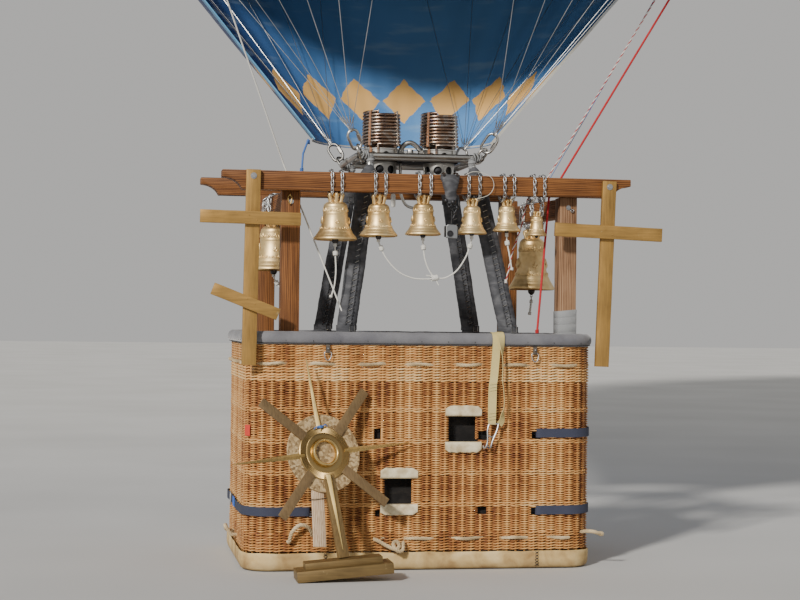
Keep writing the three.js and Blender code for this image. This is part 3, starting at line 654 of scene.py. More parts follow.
def woven_strap(name, colour, edge, scale=0.0022):
    """Webbing: ribs across its run, from the piece's own UV map, which is in metres along it."""
    f = Finish(name)
    ribs = f.bands(1 / (scale * 6.28), f.uv, "Y")
    shown = f.mix(f.times(f.noise(12, 3), 0.8), colour, edge)
    shown = f.mix(f.times(ribs, 0.35), shown, toned(colour, 0.55))
    f.relief(f.plus(ribs, f.times(f.noise(160, 2), 0.4)), 0.5, 0.0006)
    return f.set(shown, 0.85)


def canvas():
    f = Finish("hole_canvas")
    crumple = f.noise(22, 4)
    f.relief(f.times(f.bands(150), f.bands(150, direction="Z")), 0.3, 0.0006)
    f.relief(crumple, 0.4, 0.003)
    return f.set(f.ramp(crumple, [(0.36, (0.52, 0.42, 0.25)), (0.6, (0.80, 0.71, 0.49))]), 0.9)


def plaited(name, colour, dark):
    """Cord: slanting bands of its lay, from the UV map that runs round and along the tube."""
    f = Finish(name)
    lay = f.bands(0.5, f.mapped((TURN, 36 * TURN, 1), f.uv), "DIAGONAL")
    shown = f.mix(f.times(f.noise(60, 3), 0.3), f.mix(lay, dark, colour), dark)
    f.relief(lay, 0.5, 0.0006)
    return f.set(shown, 0.8)


def rope_fibre():
    f = Finish("rope_fibre")
    f.relief(f.noise(240, 3), 0.6, 0.0008)
    return f.set(f.ramp(f.noise(11, 4), [(0.3, (0.25, 0.18, 0.10)), (0.52, (0.52, 0.40, 0.23)),
                                         (0.7, (0.70, 0.58, 0.37))]), 0.88)


rim_suede = suede()
sleeve_leather = leather("sleeve_leather", (0.050, 0.052, 0.060), (0.098, 0.100, 0.110), 0.76)
tab_leather = leather("tab_leather", (0.035, 0.026, 0.020), (0.12, 0.095, 0.07), 0.65)
bag_leather = leather("bag_leather", (0.035, 0.036, 0.042), (0.10, 0.102, 0.112))
tab_dark = leather("thong_leather", (0.018, 0.010, 0.007), (0.07, 0.045, 0.03), 0.6)
# Near-black leather for the sheets behind the holes: painted shade inside the basket.
painted_shade_leather = leather("painted_shade_leather", (0.004, 0.003, 0.003), (0.013, 0.010, 0.008), 0.85)
jacket_cloth = leather("cylinder_jacket", (0.02, 0.025, 0.04), (0.06, 0.07, 0.10), 0.7)
skirt_hide = rawhide()
hole_canvas = canvas()
blue_webbing = woven_strap("blue_webbing", (0.028, 0.034, 0.066), (0.062, 0.068, 0.105))
yellow_webbing = woven_strap("yellow_webbing", (0.62, 0.49, 0.17), (0.78, 0.68, 0.36))
black_webbing = woven_strap("black_webbing", (0.02, 0.02, 0.022), (0.05, 0.05, 0.055))
bright_blue_cloth = woven_strap("bright_blue_cloth", (0.03, 0.12, 0.52), (0.08, 0.22, 0.70))
red_cloth = woven_strap("red_cloth", (0.60, 0.03, 0.02), (0.72, 0.10, 0.06))
grey_tape = woven_strap("grey_tape", (0.25, 0.26, 0.27), (0.38, 0.39, 0.40), 0.0012)
white_cord = plaited("white_cord", (0.86, 0.85, 0.80), (0.60, 0.59, 0.55))
red_cord = plaited("red_cord", (0.62, 0.025, 0.03), (0.35, 0.01, 0.015))
blue_cord = plaited("blue_cord", (0.10, 0.24, 0.62), (0.05, 0.12, 0.36))
rope_finish = rope_fibre()
print("soft finishes")

# %% [markdown]
# Willow rods differ: each has its own tone, kept on the mesh as the attribute "tone", and along a rod the
# colour drifts between honey and red-brown. The same attribute also carries painted light and shade: rods
# are lighter where they pass in front of a stake and darker between stakes, and the top waling is darker as
# the painted shade of the rim. The bark side is a little glossy.

# %% Willow
def willow():
    f = Finish("willow")
    tone = f.out("ShaderNodeAttribute", socket="Fac", attribute_name="tone")
    streak = f.noise(46, 3, f.mapped((1, 1, 3)))
    share = f.weighed((tone, 0.46), (f.noise(6.5, 4), 0.42), (streak, 0.14))
    colour = f.ramp(share, [(0.16, (0.050, 0.012, 0.006)), (0.36, (0.205, 0.066, 0.020)),
                            (0.56, (0.50, 0.228, 0.068)), (0.82, (0.78, 0.46, 0.175)),
                            (1.0, (0.84, 0.62, 0.32))])
    f.relief(streak, 0.3, 0.0008)
    return f.set(colour, f.spread(streak, 0.45, 0.72), Specular_IOR_Level=0.4)


willow_finish = willow()
print("willow")

# %% [markdown]
# ## Cords
# White cords hang from the clappers' tails. Three of them sag together into one knot. Their routes are the
# frame's own, and each leaves its clapper straight down before it swings away.

# %% Pull cords
CORD_DIAMETER = 0.007
CORD_LEAD = 12
CORD_STEP = 12
TRIO_KNOT = (58, -492, 1404)
PULL_CORDS = [
    # node, body, far end, points from the clapper's tail
    ("pull_cord_1", "clapper_one", "bare",
     [(-429, -497, 1560.6), (-427, -497, 1500), (-424, -496, 1430), (-430, -496, 1360), (-446, -495, 1305)]),
    ("pull_cord_2", "clapper_trio", "object",
     [(-219, -497, 1585.6), (-213, -497, 1560), (-180, -496, 1495), (-120, -495, 1432), (-50, -493, 1402),
      (20, -492, 1398), (44, -492, 1401)]),
    ("pull_cord_3", "clapper_trio", "knot",
     [(-2, -497, 1596.6), (0, -497, 1560), (8, -497, 1500), (26, -494, 1450), (52, -492, 1410)]),
    ("pull_cord_4", "clapper_trio", "object",
     [(239, -497, 1608.6), (236, -497, 1580), (212, -496, 1510), (166, -495, 1440), (112, -493, 1406),
      (72, -492, 1402)]),
    ("pull_cord_5", "clapper_five", "bare",
     [(413, -497, 1624.6), (416, -497, 1580), (428, -499, 1520), (441, -496, 1450)]),
    ("pull_cord_left", "clapper_west", "bare",
     [(-660, 120, 1425.6), (-655, 118, 1400), (-630, 110, 1360), (-600, 100, 1330), (-575, 92, 1290)]),
]


def free_cord(made, line):
    """Prints the length of a cord that hangs free, from its own line."""
    length = round(line_length(line), 3)
    tuple(line[0])
    [tuple(p) for p in line]
    print(made.name, length, "m")


ropes = []
for node, body, far_end, route in PULL_CORDS:
    x, y, z = route[0]
    line = smooth([route[0], (x, y, z - CORD_LEAD), *route[1:]], CORD_STEP)
    made = Shape().tube(line, CORD_DIAMETER / MM / 2).piece(node + "_rope", white_cord, "white_cord", node,
                                                            body=body)
    ropes.append((made, line))
print(len(ropes), "cords")

# %% [markdown]
# Each cord is tied to its clapper by a small lashing of a few turns, and the trio's knot is a wrapped
# bundle with two short tails. They are the same cord, wound: a helix of turns round the core.

# %% Lashings and knots
for (node, body, far_end, _), (made, line) in zip(PULL_CORDS, ropes):
    knot = Shape()
    knot.wound(line[0] + mm(0, 0, -4), 6.2, 16, 4, 3.0)
    knot.wound(line[4], 8.2, 18, 4, 4.2, line[3] - line[4])
    knot.wound(line[4], 9.2, 8, 2, 4.0, (0.5, 0.3, 1))
    if far_end == "bare":
        knot.wound(line[-1] + mm(0, 0, 4), 5.5, 10, 3, 2.8)
    if far_end == "knot":
        trio = at(*TRIO_KNOT)
        knot.wound(trio, 11.0, 30, 5, 4.2, (1, 0, 0.2))
        knot.wound(trio, 10.5, 18, 3, 4.2, (0.2, 0, 1))
        for dx, dz in ((-42, 12), (20, -34)):
            tip = trio + mm(dx, -3, dz)
            knot.tube(smooth([trio, trio.lerp(tip, 0.4) + mm(0, 0, 3), tip], 4), 3.0, 6)
    knot = knot.piece(node + "_lashing", white_cord, "white_cord", body=body)
    free_cord(made, line)

# %% [markdown]
# ## Geometry Nodes, set up once
# What repeats is grown by node trees. This class keeps a tree's calls short; grown() hangs the tree on an
# object, sets its inputs by their identifiers, bakes the result into a plain mesh and drops the modifier.

# %% Node trees
class Grower(Tree):
    def __init__(self, name, **inputs):
        self.tree = bpy.data.node_groups.new(name, "GeometryNodeTree")
        face = self.tree.interface
        for way in ("INPUT", "OUTPUT"):
            face.new_socket(name="Geometry", in_out=way, socket_type="NodeSocketGeometry")
        for key, kind in inputs.items():
            face.new_socket(name=key, in_out="INPUT", socket_type="NodeSocket" + kind)
        self.input = self.node("NodeGroupInput").outputs
        self.output = self.node("NodeGroupOutput")

    def named(self, name, kind="FLOAT"):
        return self.out("GeometryNodeInputNamedAttribute", {"Name": name}, data_type=kind)

    def xyz(self, **parts):
        return self.out("ShaderNodeCombineXYZ", {key.upper(): value for key, value in parts.items()})

    def shape_of(self, item):
        return self.out("GeometryNodeObjectInfo", {"Object": item}, "Geometry")

    def end(self, geometry):
        """Every tree ends in Realize Instances and Set Material."""
        real = self.out("GeometryNodeRealizeInstances", {"Geometry": geometry})
        shown = self.out("GeometryNodeSetMaterial", {"Geometry": real, "Material": self.input["Material"]})
        self.tree.links.new(shown, self.output.inputs[0])
        print(self.tree.name, "tree", len(self.tree.nodes), "nodes")
        return self.tree


def seed_object(name, points, edges=(), faces=(), **attributes):
    mesh = new_mesh(name, points, edges, faces)
    for key, values in attributes.items():
        vectors = isinstance(values[0], tuple)
        layer = mesh.attributes.new(key, "FLOAT_VECTOR" if vectors else "FLOAT", "POINT")
        flat = [x for value in values for x in value] if vectors else values
        layer.data.foreach_set("vector" if vectors else "value", flat)
    return linked(name, mesh)


def grown(source, tree, name, **values):
    """Runs a tree on an object and returns the result as a plain mesh object."""
    modifier = source.modifiers.new("grown", "NODES")
    modifier.node_group = tree
    for item in tree.interface.items_tree:
        if item.in_out == "INPUT" and item.name in values:
            modifier[item.identifier] = values[item.name]
    bpy.context.view_layer.update()
    graph = bpy.context.evaluated_depsgraph_get()
    mesh = bpy.data.meshes.new_from_object(source.evaluated_get(graph))
    source.modifiers.clear()
    return linked(name, mesh)


def joined(name, parts):
    """One object from several, their meshes merged in order."""
    full = [p for p in parts if len(p.data.vertices)]
    with bpy.context.temp_override(active_object=full[0], selected_editable_objects=full):
        bpy.ops.object.join()
    full[0].name = full[0].data.name = name
    for part in parts:
        if part not in full:
            bpy.data.objects.remove(part)
    return full[0]


def triangles(made):
    made.data.calc_loop_triangles()
    return len(made.data.loop_triangles)


print("node trees ready")

# %% [markdown]
# ## The woven basket
# Willow rods, about 6 mm thick, go alternately in front of and behind upright stakes that stand 44 mm
# apart, so each stake shows as a rib. Bands of waling, three rods that twist round each other, divide the
# weave every 150 mm and fill the top and the foot. All of it follows one closed line round the basket, so
# one tree that carries a line's points in and out can make every course, given its wave and its rows.

# %% The line round the basket
BASKET_W = 1710
BASKET_D = 1060
BASKET_R = 130
WALL_MID = 15
STAKES = 118
SAMPLES = 3


def basket_line(inset, count):
    """Points round the basket's plan at equal steps, with the outward direction of each, in millimetres."""
    radius = BASKET_R - inset
    long, deep = BASKET_W - 2 * BASKET_R, BASKET_D - 2 * BASKET_R
    arc = pi / 2 * radius
    sides = [
        # corner centre before the side, its length, direction along it, outward
        ((-long / 2, -deep / 2), long, (1, 0), (0, -1)),
        ((long / 2, -deep / 2), deep, (0, 1), (1, 0)),
        ((long / 2, deep / 2), long, (-1, 0), (0, 1)),
        ((-long / 2, deep / 2), deep, (0, -1), (-1, 0)),
    ]
    total = 2 * (long + deep) + 4 * arc
    line = []
    for s in (total * i / count for i in range(count)):
        for (cx, cy), length, (tx, ty), (ox, oy) in sides:
            if s < length:
                line.append(((cx + ox * radius + tx * s, cy + oy * radius + ty * s), (ox, oy)))
                break
            s -= length
            if s < arc:
                a = s / radius
                out = (ox * cos(a) + tx * sin(a), oy * cos(a) + ty * sin(a))
                line.append(((cx + tx * length + out[0] * radius, cy + ty * length + out[1] * radius), out))
                break
            s -= arc
    return line, total


ring, ring_length = basket_line(WALL_MID, STAKES * SAMPLES)
ROUND = len(ring)
random.seed(11)
stake_bulge = [random.uniform(0.75, 1.3) for _ in range(STAKES)]
stake_tone = [random.uniform(0.0, 1.0) for _ in range(STAKES)]
print("line", round(ring_length), "mm, stakes every", round(ring_length / STAKES, 1), "mm")

# %% [markdown]
# The four walls are cut from the ring at the middles of the corners, so that each piece stays a fair size.
# Each part of the line carries its station (in stakes), its outward direction, and how far its stakes push.

# %% Four walls
def wall_of(x, y):
    """Which wall a place belongs to: the corners are shared out along their diagonals."""
    dx = abs(x) - (BASKET_W / 2 - BASKET_R)
    dy = abs(y) - (BASKET_D / 2 - BASKET_R)
    if dx > dy:
        return "right" if x > 0 else "left"
    return "rear" if y > 0 else "front"


def wall_run(wall):
    """The indices of a wall's run of the ring, with one step of overlap at its end."""
    first = next(i for i in range(ROUND) if wall_names[i] == wall and wall_names[i - 1] != wall)
    last = first
    while wall_names[last % ROUND] == wall:
        last += 1
    return list(range(first, last + 1))


wall_names = [wall_of(*place) for place, _ in ring]
RUNS = {wall: wall_run(wall) for wall in ("front", "right", "rear", "left")}


def wall_line(wall, every):
    """A seed object with the wall's line at ground height, its stations and its outward directions."""
    run = [i for i in RUNS[wall] if i % every == 0 or i in (RUNS[wall][0], RUNS[wall][-1])]
    stakes = [round(i / SAMPLES) % STAKES for i in run]
    return seed_object("line_" + wall, [at(*ring[i % ROUND][0], 0) for i in run],
                       [(i, i + 1) for i in range(len(run) - 1)],
                       outward=[(*ring[i % ROUND][1], 0.0) for i in run], station=[i / SAMPLES for i in run],
                       bulge=[stake_bulge[k] for k in stakes], column=[stake_tone[k] for k in stakes])


HOLES = [
    # centre X, centre Z, width, height; the first two are toe holds
    (202, 676, 116, 132),
    (-110, 377, 119, 132),
    (-218, 652, 33, 55),
    (-208, 270, 20, 28),
    (302, 643, 26, 48),
    (303, 283, 21, 38),
    (567, 648, 23, 40),
    (567, 279, 21, 40),
    (-540, 279, 21, 40),
]
TOE_HOLDS = HOLES[:2]
HOLE_PLATE = BASKET_D / 2 + 40

# A rod whose outward ray meets one of these flat plates is cut away there
corners = [at(x + px * w / 2, y, z + pz * h / 2) for x, z, w, h in HOLES for y in (-HOLE_PLATE, HOLE_PLATE)
           for px, pz in SQUARE]
plates = seed_object("hole_plates", corners,
                     faces=[tuple(range(k, k + 4)) for k in range(0, len(corners), 4)])
print({wall: len(run) for wall, run in RUNS.items()}, "samples in the walls")

# %% [markdown]
# The tree copies the line once for each row, lifts it, waves it in and out (and, for waling, up and down,
# so that the rods twist), cuts it at the holes, and gives it a section. "Wave" is the stakes in one wave
# and "Strands" how many rods share a row. The tone is painted lighter where a rod passes in front of a
# stake and darker where it sinks between stakes: painted light and shade for the ribs.

# %% The weaving tree
def weaving_tree():
    g = Grower("weaving", Rows="Int", Strands="Int", Lowest="Float", Pitch="Float", Wave="Float",
               Depth="Float",
               Lift="Float", Rod="Float", Tone="Float", Plates="Object", Sides="Int", Material="Material")
    i = g.input
    line = g.out("GeometryNodeMeshToCurve", {"Mesh": i["Geometry"]})
    copies = g.node("GeometryNodeDuplicateElements",
                    {"Geometry": line, "Amount": g.times(i["Rows"], i["Strands"])},
                    domain="SPLINE").outputs
    number = copies["Duplicate Index"]
    row = g.math("FLOOR", g.math("DIVIDE", number, i["Strands"]))
    strand = g.math("MODULO", number, i["Strands"])
    turn = g.plus(row, g.times(strand, g.math("DIVIDE", i["Wave"], i["Strands"])))
    phase = g.times(g.math("DIVIDE", g.plus(g.named("station"), turn), i["Wave"]), TURN)
    swing = g.math("COSINE", phase)

    place = g.out("GeometryNodeInputPosition")
    outward = g.named("outward", "FLOAT_VECTOR")
    uneven_row = g.out("ShaderNodeTexNoise", {"Vector": place, "Scale": 3.0, "W": row}, noise_dimensions="4D")
    wander = g.times(g.math("SUBTRACT", uneven_row, 0.5), 0.007)
    out = g.times(g.times(swing, i["Depth"]), g.named("bulge"))
    up = g.plus(g.times(g.math("SINE", phase), i["Lift"]), wander,
                g.plus(i["Lowest"], g.times(row, i["Pitch"])))
    shift = g.out("ShaderNodeVectorMath", {0: outward, "Scale": out}, operation="SCALE")
    shift = g.out("ShaderNodeVectorMath", {0: shift, 1: g.xyz(z=up)}, operation="ADD")
    waved = g.out("GeometryNodeSetPosition", {"Geometry": copies["Geometry"], "Offset": shift})

    own = g.out("FunctionNodeRandomValue", {2: 0.0, 3: 1.0, "ID": number, "Seed": 5}, 1)
    # Painted light and shade: a rod is lighter where it passes in front of a stake and darker in the recess
    # between stakes.
    front = g.plus(g.weighed((swing, 0.27), (g.math("ABSOLUTE", swing), 0.60)), -0.35)
    tone = g.plus(g.weighed((own, 0.5), (g.named("column"), 0.5)), g.plus(i["Tone"], front))
    marked = g.out("GeometryNodeStoreNamedAttribute", {"Geometry": waved, "Name": "tone", "Value": tone},
                   data_type="FLOAT", domain="POINT")

    edges = g.out("GeometryNodeCurveToMesh", {"Curve": marked})
    hit = g.out("GeometryNodeRaycast", {"Target Geometry": g.shape_of(i["Plates"]), "Source Position": place,
                                        "Ray Direction": outward, "Ray Length": 0.2}, "Is Hit")
    rest = g.out("GeometryNodeDeleteGeometry", {"Geometry": edges, "Selection": hit}, domain="POINT")
    rods = g.out("GeometryNodeMeshToCurve", {"Mesh": rest})
    section = g.out("GeometryNodeCurvePrimitiveCircle", {"Resolution": i["Sides"], "Radius": i["Rod"]})
    return g.end(g.out("GeometryNodeCurveToMesh",
                       {"Curve": rods, "Profile Curve": section, "Fill Caps": True}))


weaving = weaving_tree()
COURSES = [
    # what, rows, strands, lowest Z, pitch, wave in stakes, depth, lift, rod, tone, every
    ("foot waling", 7, 3, 97, 12.9, 3, 9.0, 3.4, 3.9, -0.08, 2),
    ("zone 1", 22, 1, 182, 5.6, 2, 8.5, 0, 3.5, -0.03, 1),
    ("band 1", 2, 3, 307, 11.5, 3, 10.0, 3.2, 3.6, 0.14, 2),
    ("zone 2", 23, 1, 328, 5.6, 2, 8.5, 0, 3.5, -0.02, 1),
    ("band 2", 2, 3, 459, 11.5, 3, 10.0, 3.2, 3.6, 0.14, 2),
    ("zone 3", 23, 1, 479, 5.6, 2, 8.5, 0, 3.5, -0.02, 1),
    ("band 3", 2, 3, 610, 11.5, 3, 10.0, 3.2, 3.6, 0.14, 2),
    ("zone 4", 23, 1, 630, 5.6, 2, 8.5, 0, 3.5, -0.02, 1),
    ("band 4", 2, 3, 761, 11.5, 3, 10.0, 3.2, 3.6, 0.14, 2),
    ("zone 5", 22, 1, 781, 5.6, 2, 8.5, 0, 3.5, 0.0, 1),
    ("pale waling", 5, 3, 909, 13.4, 3, 10.0, 3.8, 4.3, 0.40, 2),
    # The top waling's tone is kept low as painted shade from the rim over it.
    ("top waling", 9, 3, 976, 12.0, 3, 9.0, 3.4, 4.0, 0.03, 2),
]

# %% [markdown]
# The stakes are thicker rods, upright at every station, running from the floor to the rim.

# %% Stakes and walls
STAKE_R = 6.5
STAKE_LOW = 22
STAKE_HIGH = 1078
STAKE_TONE = 0.72


def stake_shape(wall):
    shape = Shape()
    for i in RUNS[wall][:-1]:
        if i % SAMPLES:
            continue
        (x, y), _ = ring[i % ROUND]
        spans = [(STAKE_LOW, STAKE_HIGH)]
        for hx, hz, w, h in HOLES:
            if wall in ("front", "rear") and abs(x - hx) < w / 2 + 1:
                cut = [((lo, min(hi, hz - h / 2)), (max(lo, hz + h / 2), hi)) for lo, hi in spans]
                spans = [(lo, hi) for pair in cut for lo, hi in pair if lo < hi]
        for lo, hi in spans:
            shape.tube([(x, y, lo), (x, y, hi)], STAKE_R, 6)
    return shape


def weave_wall(wall):
    lines = {every: wall_line(wall, every) for every in (1, 2)}
    parts = []
    for what, rows, strands, lowest, pitch, wave, depth, lift, rod, tone, every in COURSES:
        parts.append(grown(lines[every], weaving, f"{what} {wall}", Rows=rows, Strands=strands,
                           Lowest=lowest * MM,
                           Pitch=pitch * MM, Wave=float(wave), Depth=depth * MM, Lift=lift * MM, Rod=rod * MM,
                           Tone=tone, Plates=plates, Sides=4, Material=willow_finish))
    stakes = stake_shape(wall).piece("stakes_" + wall, willow_finish)
    stakes.parent = None
    tones = stakes.data.attributes.new("tone", "FLOAT", "POINT")
    tones.data.foreach_set("value", [STAKE_TONE] * len(stakes.data.vertices))
    made = joined("weave_" + wall, parts + [stakes])
    for line in lines.values():
        bpy.data.objects.remove(line)
    made.data.materials.clear()
    made.data.materials.append(willow_finish)
    shade(made, 100)
    declared(made, "basket" if wall == "front" else None)
    print("weave", wall, triangles(made), "triangles")


for wall in RUNS:
    weave_wall(wall)
bpy.data.objects.remove(plates)

# %% [markdown]
# A thick rope is woven in under the rim, and a second one runs low down on the right: the same wave as the
# rods, but as three laid strands. Its ends, loops and knots are what people lift and tie the basket by.

# %% Woven ropes
ROPE_WAVES = 22
ROPE_DEPTH = 15
ROPE_STEP = 0.2


def woven_rope(first, last, z):
    """A rope in front of and behind two or three stakes in turn, from one station to another."""
    path = []
    s = first
    while s <= last + 1e-6:
        k = int(s * SAMPLES)
        t = s * SAMPLES - k
        (x0, y0), (ox0, oy0) = ring[k % ROUND]
        (x1, y1), (ox1, oy1) = ring[(k + 1) % ROUND]
        out = 3 + ROPE_DEPTH * cos(TURN * ROPE_WAVES * s / STAKES)
        ox, oy = ox0 + (ox1 - ox0) * t, oy0 + (oy1 - oy0) * t
        path.append(at(x0 + (x1 - x0) * t + ox * out, y0 + (y1 - y0) * t + oy * out, z + 2 * sin(s * 1.7)))
        s += ROPE_STEP
    return path


def mirrored(points):
    return [(-x, y, z) for x, y, z in points]


shape = Shape().rope(woven_rope(0, STAKES - ROPE_STEP, 986), 9.5, 5, closed=True)
woven_ropes = shape.rope(woven_rope(12, 33, 150), 9.5, 5).piece("woven_ropes", rope_finish, "wicker",
                                                                tidy=False)

FRONT_ARCH = [(-640, -520, 142), (-637, -548, 146), (-627, -562, 190), (-590, -566, 224), (-551, -562, 214),
              (-529, -548, 180), (-526, -520, 172)]
END_LOOP = [(840, -60, 120), (872, -62, 124), (893, -30, 150), (896, 40, 158), (884, 96, 128),
            (840, 100, 120)]
REAR_ARCH = [(640, 520, 142), (637, 548, 146), (612, 562, 196), (570, 564, 208), (535, 548, 160),
             (530, 520, 150)]
STOPPER_KNOT = [(-228, -530, 150), (-214, -556, 146), (-176, -568, 124), (-150, -572, 112), (-128, -576, 106),
                (-112, -566, 122), (-122, -552, 140), (-140, -560, 134), (-136, -578, 112), (-116, -580, 96),
                (-96, -566, 100), (-92, -556, 122), (-86, -532, 134)]
handles = Shape()
for points in (FRONT_ARCH, mirrored(END_LOOP), END_LOOP, mirrored(REAR_ARCH), REAR_ARCH):
    handles.rope(smooth(points, 6), 10)
handles.rope(smooth(STOPPER_KNOT, 5), 10).piece("rope_handles", rope_finish, "wicker", tidy=False)

# The end of the low rope comes out at the front right corner, whipped so that it cannot fray
line = smooth([(800, -500, 172), (822, -520, 178), (856, -528, 176), (880, -524, 168), (905, -510, 162)], 6)
rope_end = Shape().rope(line, 10).piece("rope_end", rope_finish, "wicker", tidy=False)
whipping = Shape().wound(line[-2], 10.5, 14, 5, 1.6, line[-1] - line[-2], 5)
whipping = whipping.piece("rope_whipping", rope_finish, "wicker")
free_cord(rope_end, line)
print("ropes", triangles(woven_ropes), "triangles")

# %% [markdown]
# The rim is a foam roll under suede, drawn in a little where it is laced down, with a piped seam along
# its outer underside. The roll is a section carried round the basket's line, and the lacing dents it.

# %% Padded rim
RIM_Z = 1108
RIM_HALF_W = 26
RIM_HALF_H = 31.5
RIM_INSET = 12.5
RIM_STATIONS = 520
RIM_SIDES = 20
LACE_STEP = 13
PIPING_ANGLE = -0.85
LACE_ANGLES = (-0.35, -1.35, -2.2)


def rim_point(k, angle, extra=0.0):
    (x, y), (ox, oy) = rim_line[k % RIM_STATIONS]
    pinch = exp(-((k % LACE_STEP - LACE_STEP / 2) / 1.3) ** 2)
    soft = 0.045 * uneven(x * 0.012, y * 0.012, angle * 1.3) + 0.02 * uneven(x * 0.05, y * 0.05, angle * 2)
    swell = 1 + soft - 0.055 * pinch * (0.5 - 0.5 * sin(angle))
    a = (RIM_HALF_W * swell + extra) * cos(angle)
    return at(x + ox * a, y + oy * a, RIM_Z + (RIM_HALF_H * swell + extra) * sin(angle))


rim_line, _ = basket_line(RIM_INSET, RIM_STATIONS)
angles = [TURN * (j + 0.5) / RIM_SIDES for j in range(RIM_SIDES)]
roll = Shape().rings([[rim_point(k, a) for a in angles] for k in range(RIM_STATIONS)], closed=True)
rim = roll.piece("rim_padding", rim_suede, "rim_suede", "rim", smooth=180)

piping = Shape().hoop([rim_point(k, PIPING_ANGLE, 0.8) for k in range(RIM_STATIONS)], 2.2, 6)
for k in range(LACE_STEP // 2, RIM_STATIONS, LACE_STEP):
    piping.tube([rim_point(k + d, a, 0.6) for a, d in zip(LACE_ANGLES, (0, 1, 0))], 1.7, 5)
piping.piece("rim_piping", black_webbing, "rim_suede")
print("rim", triangles(rim), "triangles")

# %% [markdown]
# The skirt is wet rawhide, stretched over the basket's foot, stitched and left to dry: stiff, with an
# uneven top edge and hollows between the rods. Dark thongs close the seams where two hides meet.

# %% Rawhide skirt
SKIRT_TOP = 92
SKIRT_OUT = 6.3
SKIRT_STATIONS = 460
SKIRT_SEAMS = [(-462, -1), (572, -1), (-462, 1), (572, 1)]


def skirt_section(k):
    (x, y), (ox, oy) = skirt_line[k]
    top = SKIRT_TOP - 5 + 4 * uneven(x * 0.011, y * 0.011, 3.1) + uneven(x * 0.045, y * 0.045, 7.7)
    hollow = 3.2 * uneven(x * 0.014, y * 0.014, 1.2) + 1.2 * uneven(x * 0.05, y * 0.05, 9.2)
    out = SKIRT_OUT
    profile = [(1.0, top - 1.5), (out - 2.2, top), (out - 0.3, top - 3), (out - 1 + hollow, 68),
               (out - 0.5 - hollow, 48), (out - 0.6 - 0.5 * hollow, 34), (out - 4 + 0.5 * hollow, 19), (-1.5,
                                                                                                        9),
               (-13, 3), (-34, 0.6), (-74, 0.6), (-74, 5.5), (-34, 6.5), (-8, 11), (0.8, 14)]
    return [at(x + ox * a, y + oy * a, z) for a, z in profile]


skirt_line, _ = basket_line(0, SKIRT_STATIONS)
shape = Shape().rings([skirt_section(k) for k in range(SKIRT_STATIONS)], closed=True)
skirt = shape.piece("skirt_hide", skirt_hide, "rawhide", "skirt", smooth=60)

thongs = Shape()
for x, side in SKIRT_SEAMS:
    y = side * (BASKET_D / 2 + SKIRT_OUT)
    for z in range(16, 73, 14):
        for lean in (-1, 1):
            stitch = [(x - 9 * lean, y - side * 3, z), (x - 3 * lean, y + side * 2, z + 4),
                      (x + 3 * lean, y + side * 2.4, z + 8), (x + 9 * lean, y - side * 3, z + 12)]
            thongs.tube(smooth(stitch, 4), 1.8, 5)
thongs.piece("skirt_thongs", tab_dark, "rawhide")
print("skirt", triangles(skirt), "triangles")

# %% [markdown]
# Toe holds: the cut ends of the weave are wrapped in canvas above and below each big hole. A strip is
# folded round the edge, so it shows a flat face, a rounded lip into the hole, and crumpled ends.

# %% Canvas wraps
WRAP_STEPS = 22
WRAP_OVER = 31
WRAP_INNER = BASKET_D / 2 - 34


def wrap_strip(x0, x1, edge, up, side):
    """Sections of one strip round the edge of a hole; up is +1 over the hole, -1 under it."""
    rings = []
    for t in (i / WRAP_STEPS for i in range(WRAP_STEPS + 1)):
        x = x0 + (x1 - x0) * t
        slack = 1 - 0.3 * max(0, 1 - min(t, 1 - t) * 8)
        crumple = 2.2 * uneven(x * 0.05, edge * 0.1, side)
        tall = 46 * slack + 1.6 * crumple + 2.5 * uneven(x * 0.09, edge, 4.0)
        y = BASKET_D / 2 + 5.5 + 0.7 * crumple
        section = [(y - 7, tall - 1), (y - 2, tall + 0.5), (y + 1, tall - 3), (y + 0.5, tall * 0.6),
                   (y + 1.2 - 0.6 * crumple, tall * 0.3), (y + 1.5, 4), (y - 2, -3.5), (y - 9, -5.5),
                   (WRAP_INNER, -5), (WRAP_INNER - 3, -1), (WRAP_INNER, 3), (y - 9, 2)]
        rings.append([at(x, side * py, edge + up * pz) for py, pz in section])
    return rings


shape = Shape()
for x, z, w, h in TOE_HOLDS:
    for side in (-1, 1):
        for up in (1, -1):
            shape.rings(wrap_strip(x - w / 2 - WRAP_OVER, x + w / 2 + WRAP_OVER, z + up * (h / 2 + 1), up,
                                   side))
wraps = shape.piece("hole_wraps", hole_canvas, "wicker", smooth=70)
print("wraps", triangles(wraps), "triangles")

# %% [markdown]
# Behind each hole a near-black sheet stands inside the wall, as painted shade: it makes the holes read as
# the dark, shaded inside of the basket. It stands off the weave by the depth of a toe.

# %% Dark sheets behind the holes, as painted shade
SHADE_SHEET_IN = 501
SHADED_HOLES = HOLES[:6]
shade_sheets = Shape()
for x, z, w, h in SHADED_HOLES:
    off, over, beside = (38, 32, 50) if (x, z, w, h) in TOE_HOLDS else (9, 16, 26)
    inner, reach = SHADE_SHEET_IN - off, h / 2 + over
    section = ((SHADE_SHEET_IN, 1), (inner, 0.75), (inner - 2, 0), (inner, -0.75), (SHADE_SHEET_IN, -1))
    for side in (-1, 1):
        shade_sheets.band(smooth([(x, side * y, z + share * reach) for y, share in section], 12), w + beside, 2.4,
                    RIGHT)
shade_sheets.piece("hole_liners", painted_shade_leather, "rawhide", smooth=60)
print("liners behind", len(SHADED_HOLES), "holes on each long side")

# %% [markdown]
# Blue belts hold the fuel cylinders: each leaves a slot in the front, runs round that end of the basket,
# and goes back in at the rear. They lie flat on the weave, so they are bands along the basket's own line.

# %% Belts round the ends
BELT_W = 43
BELT_OFF = 4.5
BELT_SLOT_X = {1: 567, -1: 540}
BELTS = [
    # side in X, height
    (1, 657),
    (1, 283),
    (-1, 283),
]


